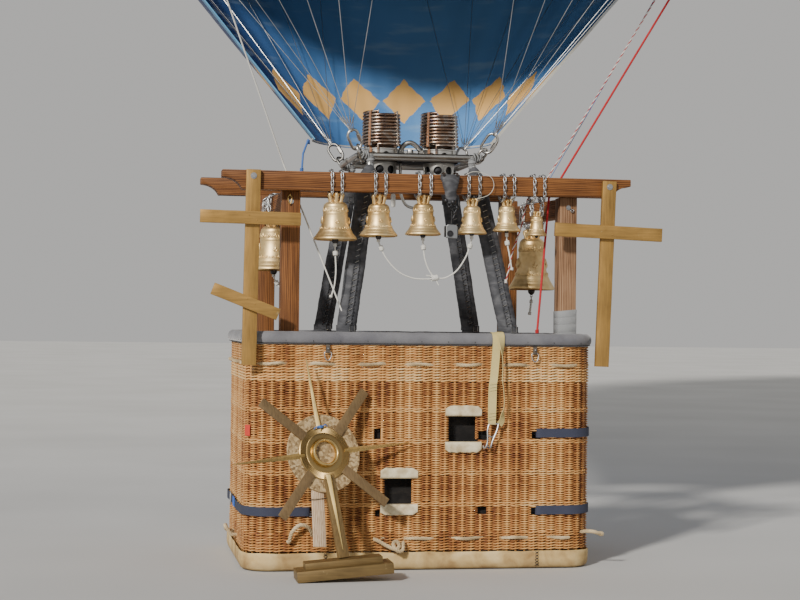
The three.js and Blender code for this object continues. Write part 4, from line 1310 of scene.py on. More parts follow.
def belt_path(side, z):
    slot = BELT_SLOT_X[side]
    leads = [(slot, 512), (slot + 1, 528), (slot + 8, 534)]
    around = [place for place, _ in basket_line(-BELT_OFF, 300)[0] if side * place[0] > slot + 20]
    around.sort(key=lambda p: atan2(p[1], side * p[0] - 500))
    return ([(side * x, -y, z) for x, y in leads] + [(x, y, z + 3 * sin(y / 90)) for x, y in around]
            + [(side * x, y, z) for x, y in leads[::-1]])


belts, buckles, pad, patch = Shape(), Shape(), Shape(), Shape()
for side, z in BELTS:
    belts.band(belt_path(side, z), BELT_W, 2.4, UP)
for side, z in ((-1, 283), (1, 283), (1, 657)):
    buckle = [(side * 864, y, z + dz) for y, dz in ((120, -27), (160, -27), (160, 27), (120, 27))]
    buckles.hoop(smooth(buckle, 8, True), 2.6, 6)
    buckles.tube([(side * 865, 140, z - 27), (side * 865, 140, z + 27)], 2.4, 6)
pad.band([(-863.5, -95, 286), (-864.5, -50, 288), (-863.5, 0, 285)], 46, 3, UP)
patch.band([(-834.5, -470, 640), (-835.5, -470, 665), (-834.5, -470, 692)], 40, 2, Vector((0.5, -0.86, 0)))
belts.piece("cylinder_belts", blue_webbing, "wicker", smooth=50)
pad.piece("belt_pad", bright_blue_cloth, "wicker")
buckles.piece("belt_buckles", galvanised, "wicker")
patch.piece("red_patch", red_cloth, "wicker")
print(len(BELTS), "belts")

# %% [markdown]
# Under the rim, leather tabs carry steel rings for tethers. A yellow ratchet strap is thrown over the
# rim: two plies, a stitched eye and a steel hook, with the loose ply twisting beside the tight one.

# %% Rings and strap
TETHER_X = (-463, 551)
TETHER_TAB = [(520, 1078), (536, 1076), (541, 1062), (542, 1050), (545, 1041), (539, 1038), (536, 1050),
              (535, 1066)]
TETHER_RING = [(-14, 542, 1042), (14, 542, 1042), (17, 543, 1030), (11, 544, 1010), (0, 544, 1003),
               (-11, 544, 1010), (-17, 543, 1030)]
TIGHT_PLY = [(357, -462, 1040), (357, -468, 1090), (357, -486, 1136), (357, -517, 1143.5), (357, -545, 1128),
             (357, -553, 1100), (355, -553, 1060), (351, -553, 1000), (345, -554, 930), (341, -557, 905),
             (338, -556, 880), (336, -556, 800), (336, -556, 730), (337, -558, 702)]
STITCHED_EYE = [(336, -559.5, 700), (338, -560.5, 780), (340, -560, 898)]
LOOSE_PLY = [(376, -466, 1040), (376, -480, 1128), (376, -516, 1146), (378, -548, 1132), (381, -558, 1095),
             (384, -560, 1040), (388, -560, 980), (386, -562, 920), (393, -562, 860), (396, -562, 800),
             (388, -562, 750), (384, -560, 716), (372, -558, 700)]
LOOSE_TWIST = radians(72)

tabs, loops = Shape(), Shape()
for x in TETHER_X:
    for side in (-1, 1):
        tabs.band(smooth([(x, side * y, z) for y, z in TETHER_TAB], 6), 19, 2.6, RIGHT)
        loops.hoop(smooth([(x + dx, side * y, z) for dx, y, z in TETHER_RING], 4, True), 2.8, 7)
        loops.turned([(0, 3), (4, 3), (5, 0), (0, 0)], at(x, side * 543.5, 1060), 10, "Y")
tabs.piece("tether_tabs", tab_leather, "rim_suede", smooth=50)
loops.piece("tether_rings", galvanised, "rim_suede", smooth=60)

strap = Shape().band(smooth(TIGHT_PLY, 12), 39, 2.2, RIGHT).band(smooth(STITCHED_EYE, 12), 36, 4, RIGHT)
line = smooth(LOOSE_PLY, 10)
shares = [i / len(line) for i in range(len(line))]
strap.band(line, 35, 2.2,
           [ray(LOOSE_TWIST * (clamped((s - 0.24) / 0.2) - clamped((s - 0.86) / 0.14))) for s in shares])
strap.piece("ratchet_strap", yellow_webbing, "rim_suede", smooth=60)

hook, stitches = Shape(), Shape()
hook.tube([(318, -558, 703), (372, -558, 703)], 4)
for x, foot in ((322, 306), (368, 330)):
    prong = [(x, -558, 703), (x - 8, -561, 672), (foot + 8, -563, 620), (foot, -562, 592),
             (foot - 6, -550, 584),
             (foot - 8, -541, 596)]
    hook.tube(smooth(prong, 6), 4)
hook.tube(smooth([(314, -561, 650), (338, -563, 640), (350, -561, 652)], 6), 3, 6)
hook.piece("strap_hook", galvanised, "rim_suede")
for z in (720, 735, 750, 860, 875, 890):
    lean = (z - 700) * 0.02
    stitches.tube([(320 + lean, -562, z), (355 + lean, -562, z + 5)], 0.9, 4)
stitches.piece("strap_stitches", black_webbing, "rim_suede")
print("trim on the basket")

# %% [markdown]
# ## Timber frame
# Four sawn posts stand in the basket, and two long beams lie on them, their ends cut to a hollow. Each
# is drawn as its outline, given depth, and its arrises are taken off with a narrow bevel.

# %% Posts and beams
TIMBER = 90
BEAM_END_TIP = 34
BEAM_END_RUN = 95
LONG_BEAMS = [
    # node, X of both ends, Y, underside
    ("beam_front", -975, 1026, -497, 1810),
    ("beam_rear", -1016, 740, 497, 1850),
]
POSTS = [
    # node, X, Y, underside of its beam, finish
    ("post_fl", -640, -432, 1810, stained_z),
    ("post_fr", 728, -432, 1810, weathered_z),
    ("post_rl", -671, 432, 1850, stained_z),
    ("post_rr", 640, 432, 1850, stained_z),
]
POST_FOOT = 45.3
SIDE_BEAMS = [
    # node, X at the front, X at the rear
    ("beam_left", -640, -671),
    ("beam_right", 728, 640),
]
SIDE_BEAM_Z = 1715
SIDE_BEAM_REACH = 386.7


def quadratic(a, control, b, steps=10):
    """Points of a quadratic curve in a plane."""
    return [tuple((1 - t) ** 2 * a[k] + 2 * t * (1 - t) * control[k] + t * t * b[k] for k in (0, 1))
            for t in (i / steps for i in range(steps + 1))]


def timber_piece(shape, node, finish, bevel=3.5):
    shape.piece(node + "_timber", finish, "stained_timber", node, smooth=25, bevel=bevel)


for node, x0, x1, y, z in LONG_BEAMS:
    top, tip, hollow = z + TIMBER, z + TIMBER - BEAM_END_TIP, 0.75 * BEAM_END_RUN
    left = quadratic((x0, tip), (x0 + hollow, tip - 4), (x0 + BEAM_END_RUN, z))
    right = quadratic((x1 - BEAM_END_RUN, z), (x1 - hollow, tip - 4), (x1, tip))
    outline = [(x0, top), *left, *right, (x1, top)]
    timber_piece(Shape().prism(outline, (y - TIMBER / 2, y + TIMBER / 2), facing), node, stained_x)

for node, x, y, top, finish in POSTS:
    rings = []
    for z in (POST_FOOT + (top - 0.3 - POST_FOOT) * i / 12 for i in range(13)):
        h = TIMBER / 2 - 0.5 + 0.7 * uneven(x, y, z * 0.01)
        rings.append([at(x + sx * h, y + sy * h, z) for sx, sy in SQUARE])
    timber_piece(Shape().rings(rings), node, finish, 4)

for node, front, rear in SIDE_BEAMS:
    half, middle = TIMBER / 2 - 0.4, SIDE_BEAM_Z + TIMBER / 2
    ends = ((-SIDE_BEAM_REACH, front), (SIDE_BEAM_REACH, rear))
    rings = [[at(x + sx * half, y, middle + sz * half) for sx, sz in SQUARE] for y, x in ends]
    timber_piece(Shape().rings(rings), node, stained_y)
print("timber frame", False)

# %% [markdown]
# Fittings on the frame: coach bolts where the beams meet the posts, a brass link on the front left post,
# a steel eye on the right one, and grey cloth tape wound round the right post over the rim.

# %% Frame fittings
BRASS_LINK = [(-647, -480, 1792), (-638, -482, 1780), (-641, -484, 1758), (-647, -484, 1746),
              (-653, -484, 1758), (-656, -482, 1780)]
LINK_STAPLE = [(-647, -478, 1800), (-647, -486, 1795), (-647, -484, 1784), (-647, -478, 1782)]
STEEL_EYE = [(746, -480, 1752), (754, -483, 1746), (746, -485, 1738), (738, -483, 1746)]
TAPE_TURNS = 4
TAPE_CORNER = 3


def bolt_head(shape, x, y, z, side, size, high, washer=2, put=facing):
    """A bolt head with its washer on a face that looks along Y."""
    for r, depth, sides in ((size * 1.5, washer, 20), (size, high, 6)):
        shape.prism([(x + r * cos(a), z + r * sin(a)) for a in circle(sides)], (y, y + side * depth), put)


bolts = Shape()
for node, x, y, top, _ in POSTS[2:]:
    for dx in (-20, 20):
        bolt_head(bolts, x + dx, 542, top + 28, 1, 7, 5)
for node, front, rear in SIDE_BEAMS:
    for side, x in ((-1, front), (1, rear)):
        bolt_head(bolts, x, side * 477, SIDE_BEAM_Z + 45, side, 8, 6)
bolts.piece("frame_bolts", galvanised, "stained_timber", smooth=30)

link = Shape().hoop(smooth(BRASS_LINK, 4, True), 3.2).tube(smooth(LINK_STAPLE, 3), 3, 6)
link.piece("brass_link", brass, "stained_timber", smooth=60)
eye = Shape().hoop(smooth(STEEL_EYE, 3, True), 2.6, 7)
eye.piece("steel_eye", galvanised, "stained_timber", smooth=60)

tape = Shape()
for turn in range(TAPE_TURNS):
    low = 1112 + 34 * turn
    rings = []
    for z, grow in ((low, 0.6), (low + 2, 1.3), (low + 40, 1.3 + 0.3 * turn), (low + 42, 0.6)):
        h = TIMBER / 2 + grow
        c = h - TAPE_CORNER
        section = ((-c, -h), (c, -h), (h, -c), (h, c), (c, h), (-c, h), (-h, c), (-h, -c))
        rings.append([at(728 + px, -432 + py, z + 0.10 * px) for px, py in section])
    tape.rings(rings)
tape.piece("post_tape", grey_tape, "stained_timber", smooth=50)
print("fittings")

# %% [markdown]
# ## Crosses
# Two gilt crosses of planed board hang by one bolt each on the front beam. The boards are simply laid on
# each other and nailed, so the bars stand one board's thickness in front of the upright.

# %% Gilt crosses
BOARD_T = 22
BEAM_FACE = -542
CROSS_OFF = 1.8
CROSS_LEAN = 0.2
CROSSES = [
    # node, bolt X, Z, turn, (half width, up, down), bars (X, Z, half length, half width, turn)
    ("cross_left", -829, 1871, 0.8, (35, 30, 893), [(-10, -199, 237, 31, 0), (-24, -594, 166, 29, 20.4)]),
    ("cross_right", 911, 1860, 2.0, (35, 29, 878), [(0, -222, 270, 33, 0)]),
]


def plain(x, z, y):
    """A corner of a shape that is moved and scaled later."""
    return Vector((x, y, z))


def board(shape, cx, cz, half_x, half_z, y=0, turn=0, thick=BOARD_T):
    """A board in the X Z plane; Y is its middle. Its long edges wander a little, as sawn ones do."""
    start = len(shape.points)
    rings = []
    for t in (i / 4 - 1 for i in range(9)):
        low, high = [0.9 * uneven(t * 3, cx * 0.1, cz * 0.1 + k) for k in (0, 5)]
        if half_x > half_z:
            edges = [(half_x * t, z, d) for z,
                     d in ((low - half_z, -1), (low - half_z, 1), (high + half_z, 1),
                                                     (high + half_z, -1))]
        else:
            edges = [(x, half_z * t, d) for x,
                     d in ((low - half_x, -1), (high + half_x, -1), (high + half_x, 1),
                                                     (low - half_x, 1))]
        rings.append([plain(x, z, d * thick / 2) for x, z, d in edges])
    shape.rings(rings)
    return shape.moved(Matrix.Translation(Vector((cx, y, cz))) @ turned_by(turn, "Y"), start)


for node, x, z, turn, (half_w, up, down), bars in CROSSES:
    place = Matrix.Translation(at(x, BEAM_FACE - BOARD_T / 2 - CROSS_OFF, z)) @ turned_by(-CROSS_LEAN, "X")
    place = place @ turned_by(turn, "Y") @ Matrix.Scale(MM, 4)
    arms, bolt = Shape(), Shape()
    upright = board(Shape(), 0, (up - down) / 2, half_w - 0.8, (up + down) / 2)
    for bx, bz, half_l, half_h, tilt in bars:
        board(arms, bx, bz, half_l, half_h - 0.8, 0.6 - BOARD_T, tilt, BOARD_T - 0.6)
        for dx, dz in ((-18, 12), (18, -12)):
            arms.rings([[plain(dx + r * cos(a), bz + dz + r * sin(a), 0.6 - 1.5 * BOARD_T - d)
                         for a in circle(10)]
                        for r, d in ((4.2, 0), (3.6, 1.2))])
    for r, depth, sides in ((15, 2.5, 20), (9.5, 8, 6)):
        bolt.prism([(r * cos(a), r * sin(a)) for a in circle(sides)], (-BOARD_T / 2, -BOARD_T / 2 - depth),
                   plain)
    upright.moved(place).piece(node + "_upright", gold_z, "gilt_board", node, smooth=25, bevel=1.6)
    arms.moved(place).piece(node + "_bars", gold_x, "gilt_board", smooth=25, bevel=1.6)
    bolt.moved(place).piece(node + "_bolt", galvanised, "gilt_board", smooth=30)
print("crosses")

# %% [markdown]
# ## Sunburst
# A chipboard disc with a milled bronze ring and a bright boss turned over a wooden eye; four flat rays
# and four ridged ones. It stands on a post and two wooden steps, tied back with a blue cord.

# %% Sunburst
SUN_AT = (-497, -700, 574)
SUN_YAW = 18
SUN_LEAN = 16
SUN_ROLL = 5
SUN_DISC = [(0, -12), (183, -12), (185, -10), (185, -1.2), (183.5, 0), (0, 0)]
SUN_BOSS = [(52, 4), (51, 17), (52.5, 26), (57, 30), (62, 30), (66, 26), (67.5, 18), (66, 10), (66, 6)]
SUN_EYE = [(54, 6), (53, 7.2), (18, 8.0), (0, 8.0)]
MILLED = 120
RAY_STATIONS = [
    # distance from the middle, half width, depth
    (105, 15, 15), (125, 15, 15), (290, 9, 9), (452, 2.4, 3.6), (460, 0.8, 1.6),
]
SUN_BASE = (-413, -822, 0)
STEPS = [
    # width, depth, height, underside
    (445, 160, 50, 0),
    (358, 102, 31, 49.5),
]
on_sun = Matrix.Translation(at(*SUN_AT)) @ turned_by(SUN_YAW, "Z")
on_sun = on_sun @ turned_by(-SUN_LEAN, "X") @ turned_by(-SUN_ROLL, "Y")


def sun_piece(shape, name, finish, node=None, **settings):
    shape.moved(on_sun).piece(name, finish, "gilt_board", node, **settings)


sun_piece(Shape().turned(SUN_DISC, ORIGIN, 96, "Y"), "sunburst_disc", chipboard, "sunburst", smooth=35)
rings = []
for j, a in enumerate(circle(2 * MILLED)):
    groove = 1.3 if j % 2 else -0.6
    section = [(60, -0.5), (60, 8), (66, 11.5), (84, 12), (92, 10.2), (95, 7.8 + groove), (124, 6.8 + groove),
               (128, 3.5), (128, -0.5)]
    rings.append([mm(r * cos(a), -h, r * sin(a)) for r, h in section])
sun_piece(Shape().rings(rings, closed=True), "sunburst_milled_ring", old_bronze, smooth=30)
sun_piece(Shape().turned(SUN_BOSS, ORIGIN, 72, "Y"), "sunburst_boss", bright_brass)
sun_piece(Shape().turned(SUN_EYE, ORIGIN, 48, "Y"), "sunburst_eye", chipboard, smooth=35)

flat_rays, sharp_rays = Shape(), Shape()
for quarter in range(4):
    start = len(flat_rays.points)
    flat_rays.block(mm(-23, -8.6, 120), mm(23, 0.4, 385)).moved(turned_by(90 * quarter + 45, "Y"), start)
    start = len(sharp_rays.points)
    lift = 8 if quarter == 2 else 0
    rings = [[mm(x, y - lift, z) for x, y in ((-w, 1), (w, 1), (0.28 * w, -0.62 * d), (0, -d),
                                              (-0.28 * w, -0.62 * d))] for z, w, d in RAY_STATIONS]
    sharp_rays.rings(rings).moved(turned_by(90 * quarter, "Y"), start)
sun_piece(flat_rays, "sunburst_flat_rays", gold_dull, smooth=25, bevel=1.2)
sun_piece(sharp_rays, "sunburst_sharp_rays", gold_bright, smooth=20)

stand = Shape().block(mm(-27, -8, -492), mm(27, 12, -100))
sun_piece(stand, "sunburst_post", gold_dull_long, smooth=25, bevel=1.6)
slat = Shape().block(mm(-31, 12.4, -431), mm(31, 23.6, -60))
slat.moved(Matrix.Translation(mm(-34, 0, 0)) @ turned_by(9, "Y"))
sun_piece(slat, "sunburst_slat", pale_z, smooth=25, bevel=1.4)

tie = Shape()
turns = [(TURN * k / 16, 118 + 7 * k / 40) for k in range(56)]
tie.tube([mm(14 * cos(a), -7 - 11 * sin(a), z) for a, z in turns], 2.6, 6)
for end in ([(10, -18, 124), (24, -22, 130), (34, -16, 122)],
            [(-10, -18, 120), (-24, -20, 124), (-34, -12, 116)]):
    tie.tube(smooth([mm(*p) for p in end], 4), 2.4, 6)
sun_piece(tie, "sunburst_tie", blue_cord)
around = [(-60, 10, -208), (-100, 6, -206), (-104, 26, -205), (-34, 26, -208), (-28, 6, -208)]
sun_piece(Shape().hoop(smooth([mm(*p) for p in around], 8, True), 1.6, 5), "slat_tie", tab_dark)

edge = mm(STEPS[0][0] / 2, 0, 0)
on_ground = Matrix.Translation(at(*SUN_BASE) - edge) @ turned_by(-SUN_ROLL, "Y") @ Matrix.Translation(edge)
# The steps take the darker gold as painted shade.
base = Shape()
for w, d, h, z in STEPS:
    base.block(mm(-w / 2, -d / 2, z + 0.3), mm(w / 2, d / 2, z + h - 0.3))
base.moved(on_ground).piece("sunburst_base_steps", gold_shaded_x, "gilt_board", "sunburst_base", smooth=25,
                            bevel=2)
print("sunburst")

# %% [markdown]
# ## Bells
# A bell is a turned profile: a thick sound bow at the lip, a waist that narrows like a vase, a round
# shoulder. Rings are turned into the profile, and the leaf frieze and the crown of canons are set on it.

# %% Bell profile
BELL_CURVE = [
    # share of the height, share of the mouth radius
    (0.0, 0.935), (0.02, 1.0), (0.07, 0.985), (0.18, 0.84), (0.35, 0.68), (0.6, 0.59), (0.93, 0.55), (1.0,
                                                                                                      0.47),
]
BELL_RINGS = [
    # share of the height, width, rise over the face, both as shares
    (0.135, 0.006, 0.012), (0.155, 0.006, 0.012), (0.245, 0.010, 0.016), (0.272, 0.005, 0.010),
    (0.70, 0.006, 0.012), (0.725, 0.006, 0.012), (0.905, 0.008, 0.014),
]
BELL_HEAD = [(0.44, 1.018), (0.38, 1.034), (0.28, 1.048), (0.16, 1.058), (0.0, 1.06)]
BELL_TOP = 0.06
BELL_WALL = 0.085
BELL_SAMPLES = 110
BELLS = [
    # name, X, Y, mouth diameter, mouth Z, shoulder Z, crown Z, underside of the beam, chain spread
    ("1", -429, -497, 208, 1577, 1753, 1800, 1810, 24),
    ("2", -219, -497, 183, 1598, 1750, 1798, 1810, 25),
    ("3", -2, -497, 173, 1609, 1757, 1801, 1810, 28),
    ("4", 239, -497, 146, 1619, 1751, 1790, 1810, 27),
    ("5", 413, -497, 135, 1635, 1757, 1789, 1810, 24),
    ("6", 563, -497, 100, 1617, 1711, 1734, 1810, 25),
    ("left", -660, 120, 246, 1444, 1662, 1702, 1715, 30),
    ("right", 679, 50, 236, 1363, 1622, 1668, 1715, 30),
]
bell_line = curve([(h, r, 0) for h, r in BELL_CURVE], 0.008)


def bell_radius(share):
    """Radius at a share of the height, from the smooth curve through the profile's points."""
    for a, b in zip(bell_line, bell_line[1:]):
        if a.x <= share <= b.x:
            return a.y + (b.y - a.y) * (share - a.x) / max(b.x - a.x, 1e-9)
    return bell_line[-1].y


bell_radii = [(i / BELL_SAMPLES, bell_radius(i / BELL_SAMPLES)) for i in range(BELL_SAMPLES + 1)]


def bell_outline(radius, height):
    """The turned profile, up the outside, over the head and down the inside."""
    outer = [(r + sum(up * exp(-((t - place) / wide) ** 2) for place, wide, up in BELL_RINGS), t)
             for t, r in bell_radii]
    inner = [(0.0, 0.95), (0.30, 0.945), (0.40, 0.92), *[(r - BELL_WALL, h) for h, r in BELL_CURVE[-2:0:-1]]]
    return [(r * radius, h * height) for r, h in [*outer, *BELL_HEAD, *inner, (0.90, 0.0), outer[0]]]


print("bell profile", len(bell_radii), "samples")

# %% [markdown]
# The frieze is one leaf set many times round the shoulder. A tree puts it on the points of a circle,
# turned outwards, so each bell only says its radius, its height and how many leaves it carries.

# %% Leaf frieze
def leaf_seed():
    """A palmette of three lobes, flat on its back, one unit high."""
    shape = Shape()
    for lean, long, wide in ((0, 1.0, 0.22), (36, 0.74, 0.18), (-36, 0.74, 0.18)):
        start = len(shape.points)
        rings = []
        for t in (i / 6 for i in range(7)):
            w = wide * sin(pi * min(0.96, 0.06 + 0.9 * t)) + 0.01
            section = ((-1, 0.05), (-0.6, -0.11 * w / wide), (0, -0.16 * w / wide), (0.6, -0.11 * w / wide),
                       (1, 0.05))
            rings.append([Vector((x * w, y, t * long)) for x, y in section])
        shape.rings(rings).moved(turned_by(lean, "Y"), start)
    return linked("leaf", new_mesh("leaf", shape.points, [], shape.faces))


def frieze_tree():
    g = Grower("leaf_frieze", Leaf="Object", Count="Int", Radius="Float", Height="Float", Size="Float",
               Material="Material")
    i = g.input
    line = g.out("GeometryNodeCurvePrimitiveCircle", {"Resolution": i["Count"], "Radius": i["Radius"]})
    points = g.out("GeometryNodeCurveToPoints", {"Curve": line}, "Points", mode="EVALUATED")
    index = g.out("GeometryNodeInputIndex")
    angle = g.times(g.math("DIVIDE", index, i["Count"]), TURN)
    small = g.times(g.math("MODULO", index, 2.0), 0.35)
    size = g.times(i["Size"], g.math("SUBTRACT", 1.0, small))
    placed = g.out("GeometryNodeInstanceOnPoints",
                   {"Points": points, "Instance": g.shape_of(i["Leaf"]),
                    "Rotation": g.xyz(z=g.plus(angle, pi / 2)),
                    "Scale": g.xyz(x=size, y=size, z=size)})
    return g.end(g.out("GeometryNodeTransform", {"Geometry": placed, "Translation": g.xyz(z=i["Height"])}))


leaf = leaf_seed()
frieze = frieze_tree()
dot = seed_object("frieze_seed", [(0, 0, 0)])

# %% [markdown]
# The crown: six canons, cast loops that flare outwards over the head, round a stem with an eye. Each bell
# also carries four small sprigs on its waist, grown by the same tree as the two friezes.

# %% Bells
CANON = [(0.26, -0.12), (0.28, 0.2), (0.32, 0.6), (0.345, 0.86), (0.31, 0.97), (0.2, 0.98), (0.08, 0.86)]
FRIEZES = [
    # what, how many, share of the height for the radius, sunk by, share of the height, size
    ("leaves", 24, 0.78, 0.008, 0.755, 0.125),
    ("lace", 36, 0.30, 0.002, 0.285, 0.07),
    ("sprigs", 4, 0.45, 0.012, 0.42, 0.22),
]


def crown_of_canons(shape, radius, low, high):
    rise = high - low
    for a in (radians(60 * k + 30) for k in range(6)):
        line = [mm(r * radius * cos(a), r * radius * sin(a), low + z * rise) for r, z in CANON]
        shape.tube(smooth(line, 3), 0.082 * radius, 7, wide=1.25)
    shape.turned([(0.13 * radius, low - 1), (0.11 * radius, low + 0.5 * rise),
                  (0.14 * radius, low + 0.86 * rise),
                  (0.1 * radius, high), (0, high)], ORIGIN, 12)


for name, x, y, mouth, mouth_z, shoulder_z, crown_z, *_ in BELLS:
    radius, height = mouth / 2, shoulder_z - mouth_z
    place = Matrix.Translation(at(x, y, mouth_z))
    shape = Shape().turned(bell_outline(radius, height), ORIGIN, 56)
    crown_of_canons(shape, radius, height * (1 + BELL_TOP) - 1, crown_z - mouth_z)
    bell = shape.moved(place).piece(f"bell_{name}_cast", bronze, "bell_bronze", "bell_" + name, smooth=60)
    for what, count, share, sunk, up, size in FRIEZES:
        made = grown(dot, frieze, f"bell_{name}_{what}", Leaf=leaf, Count=count, Height=up * height * MM,
                     Radius=(bell_radius(share) - sunk) * radius * MM, Size=size * height * MM,
                     Material=bronze)
        made.data.transform(place)
        shade(made, 60)
        declared(made)
    print("bell", name, triangles(bell), "triangles")
bpy.data.objects.remove(leaf)
bpy.data.objects.remove(dot)

# %% [markdown]
# ## Chains
# Two galvanised chains carry each bell, from the canons round the beam and back. A tree resamples their
# paths to the pitch of a link, sets a link on each point, and turns every other one a quarter round.

# %% Chain links
LINK_PITCH = 19
LINK_WIRE = 2.5
CHAIN_SIDE = 54
CHAIN_OVER = 8


def oval(length, width, steps=5, along=UP, across=RIGHT):
    """The middle line of a link round the origin: two half circles joined by straights."""
    r = width / 2
    half = length / 2 - r
    turns = [pi * i / steps for i in range(steps + 1)]
    return [(across * (end * r * cos(a)) + along * (end * (half + r * sin(a)))) * MM
            for end in (1, -1) for a in turns]


def chain_tree():
    g = Grower("chain", Link="Object", Pitch="Float", Material="Material")
    i = g.input
    line = g.out("GeometryNodeMeshToCurve", {"Mesh": i["Geometry"]})
    even = g.out("GeometryNodeResampleCurve", {"Curve": line, "Length": i["Pitch"]}, mode="LENGTH")
    points = g.node("GeometryNodeCurveToPoints", {"Curve": even}, mode="EVALUATED").outputs
    along = g.out("FunctionNodeAlignRotationToVector", {"Vector": points["Tangent"]}, axis="Z")
    quarter = g.plus(g.times(g.out("GeometryNodeInputIndex"), pi / 2), pi / 4)
    by = g.out("FunctionNodeAxisAngleToRotation", {"Axis": (0, 0, 1), "Angle": quarter})
    turned = g.out("FunctionNodeRotateRotation", {"Rotation": along, "Rotate By": by}, rotation_space="LOCAL")
    return g.end(g.out("GeometryNodeInstanceOnPoints", {"Points": points["Points"], "Rotation": turned,
                                                        "Instance": g.shape_of(i["Link"])}))


chain = chain_tree()
link_shape = Shape().hoop(oval(27, 13.5), LINK_WIRE, 6)
link_seed = seed_object("link_seed", link_shape.points, faces=link_shape.faces)


def hung(paths, name):
    """Chains along several paths, as one piece."""
    points, edges = [], []
    for path in paths:
        first = len(points)
        points.extend(places(path))
        edges.extend((first + k, first + k + 1) for k in range(len(path) - 1))
    seed = seed_object("paths", points, edges)
    made = grown(seed, chain, name, Link=link_seed, Pitch=LINK_PITCH * MM, Material=galvanised)
    bpy.data.objects.remove(seed)
    shade(made, 70)
    declared(made)
    print(name, triangles(made), "triangles")


def bell_chain(x, y, dx, crown_z, beam_z, along_y):
    """A loop from the crown up one side of the beam, over it and down the other."""
    hook, under, over = min(crown_z - 7, beam_z - 10), beam_z - 8, beam_z + TIMBER
    half = [(6, hook), (16, max(hook, under - 22)), (CHAIN_SIDE, under), (CHAIN_SIDE, beam_z + 50),
            (CHAIN_SIDE - 3, over - 1), (CHAIN_SIDE - 14, over + CHAIN_OVER)]
    loop = [(-across, z) for across, z in half] + half[::-1]
    return [(x + across, y + dx, z) if along_y else (x + dx, y + across, z) for across, z in loop]


hung([bell_chain(x, y, side * spread, crown_z, beam_z, name in ("left", "right"))
      for name, x, y, _, _, _, crown_z, beam_z, spread in BELLS for side in (-1, 1)], "bell_chains")

# A spare length of chain bundled on the left side beam
bundle = []
for k in range(4):
    y = -150 + 17 * k
    bundle.append([(-712 - 3 * k, y, 1722 + 16 * k), (-711 - 3 * k, y + 4, 1760), (-708, y + 8, 1806),
                   (-694, y + 10, 1814), (-620, y + 12, 1814), (-601, y + 12, 1800), (-598, y + 13,
                                                                                      1740 - 10 * k)])
hung(bundle, "spare_chain")
bpy.data.objects.remove(link_seed)

# %% [markdown]
# Clappers are forged: a flat eye at the top, a rod that swells into the ball, and a tail for the cord.
# The big right bell's tail carries two links and a short white pull.

# %% Clappers
CLAPPERS = [
    # bell, body, pivot Z, ball radius, ball over the mouth, tail under the mouth
    ("1", "clapper_one", 1734, 16, -2, 16),
    ("2", "clapper_trio", 1736, 14, -2, 12),
    ("3", "clapper_trio", 1736, 13, -2, 12),
    ("4", "clapper_trio", 1736, 11, -1, 10),
    ("5", "clapper_five", 1738, 10, -1, 10),
    ("6", "clapper_six", 1698, 8.5, -1, 8),
    ("left", "clapper_west", 1636, 18, -4, 18),
    ("right", "clapper_east", 1594, 18, -6, 20),
]
BALL_ANGLES = (48, 30, 12, -6, -24, -42, -58)
EAST = {"body": "clapper_east", "smooth": 60}
mouths = {name: (x, y, mouth_z) for name, x, y, _, mouth_z, *_ in BELLS}
for name, body, pivot_z, ball, rise, tail in CLAPPERS:
    top = pivot_z - mouths[name][2]
    end = min(-tail, rise - 1.12 * ball)
    swell = [(ball * cos(a), rise + ball * sin(a)) for a in map(radians, BALL_ANGLES)]
    profile = [(0, top), (3.2, top), (3.6, top - 3), (3.2, top - 8), (3.4, 0.6 * top), (4.4, rise + 2 * ball),
               (0.5 * ball, rise + 1.15 * ball), *swell, (4.4, end + 1.5), (3.8, end), (0, end)]
    shape = Shape().turned(profile, at(*mouths[name]), 18)
    shape.piece(f"clapper_{name}_forged", iron, "clapper_iron", "clapper_" + name, smooth=50, body=body)

x, y, z = mouths["right"]
links, binding = Shape(), Shape()
for k in range(2):
    start = len(links.points)
    links.hoop(oval(20, 11), 1.8,
               6).moved(Matrix.Translation(at(x, y, z - 28 - 14 * k)) @ turned_by(90 * k, "Z"), start)
links = links.piece("east_pull_links", galvanised, "clapper_iron", **EAST)
line = smooth([(x, y, z - 46), (x - 1, y, z - 60), (x - 4, y, z - 91), (x - 9, y, z - 128)], 6)
pull = Shape().tube(line, 6).piece("east_pull", white_cord, "white_cord", **EAST)
for k in (2, -2):
    binding.wound(line[k], 7.4, 12, 4, 2.2, line[k] - line[k + 1])
binding = binding.piece("east_pull_binding", white_cord, "white_cord", **EAST)
free_cord(pull, line)

# %% [markdown]
# ## Burner frame and gimbal
# A square of bent stainless tube carries the flying wires at its corners and the gimbal between its
# sides; the burners' plate swings in the gimbal. Lugs, sockets and pins are turned or cut from bar.

# %% Burner frame
BURNER_X = 20
FRAME_Z = 2008
FRAME_HALF_X = 315
FRAME_HALF_Y = 320
FRAME_CORNER = 60
FRAME_TUBE = 14
FRAME_INSET = FRAME_CORNER * (1 - sqrt(0.5))
GIMBAL_HALF_X = 272
GIMBAL_HALF_Y = 150
GIMBAL_CORNER = 40
GIMBAL_TUBE = 10
GIMBAL = "gimbal_ring"
BURNERS = "burners"


def on_frame(x, y, z):
    return at(BURNER_X + x, y, FRAME_Z + z)


def rounded(half_x, half_y, corner, steps):
    """The outline of a rectangle with round corners."""
    return [(sx * (half_x - corner) + corner * cos(radians(start + 90 * i / steps)),
             sy * (half_y - corner) + corner * sin(radians(start + 90 * i / steps)))
            for sx, sy, start in ((1, -1, -90), (1, 1, 0), (-1, 1, 90),
                                  (-1, -1, 180)) for i in range(steps + 1)]


def bar(shape, a, b, radius, sides):
    """A round or hexagonal bar between two places on the burner frame."""
    shape.tube([on_frame(*a), on_frame(*b)], radius, sides)


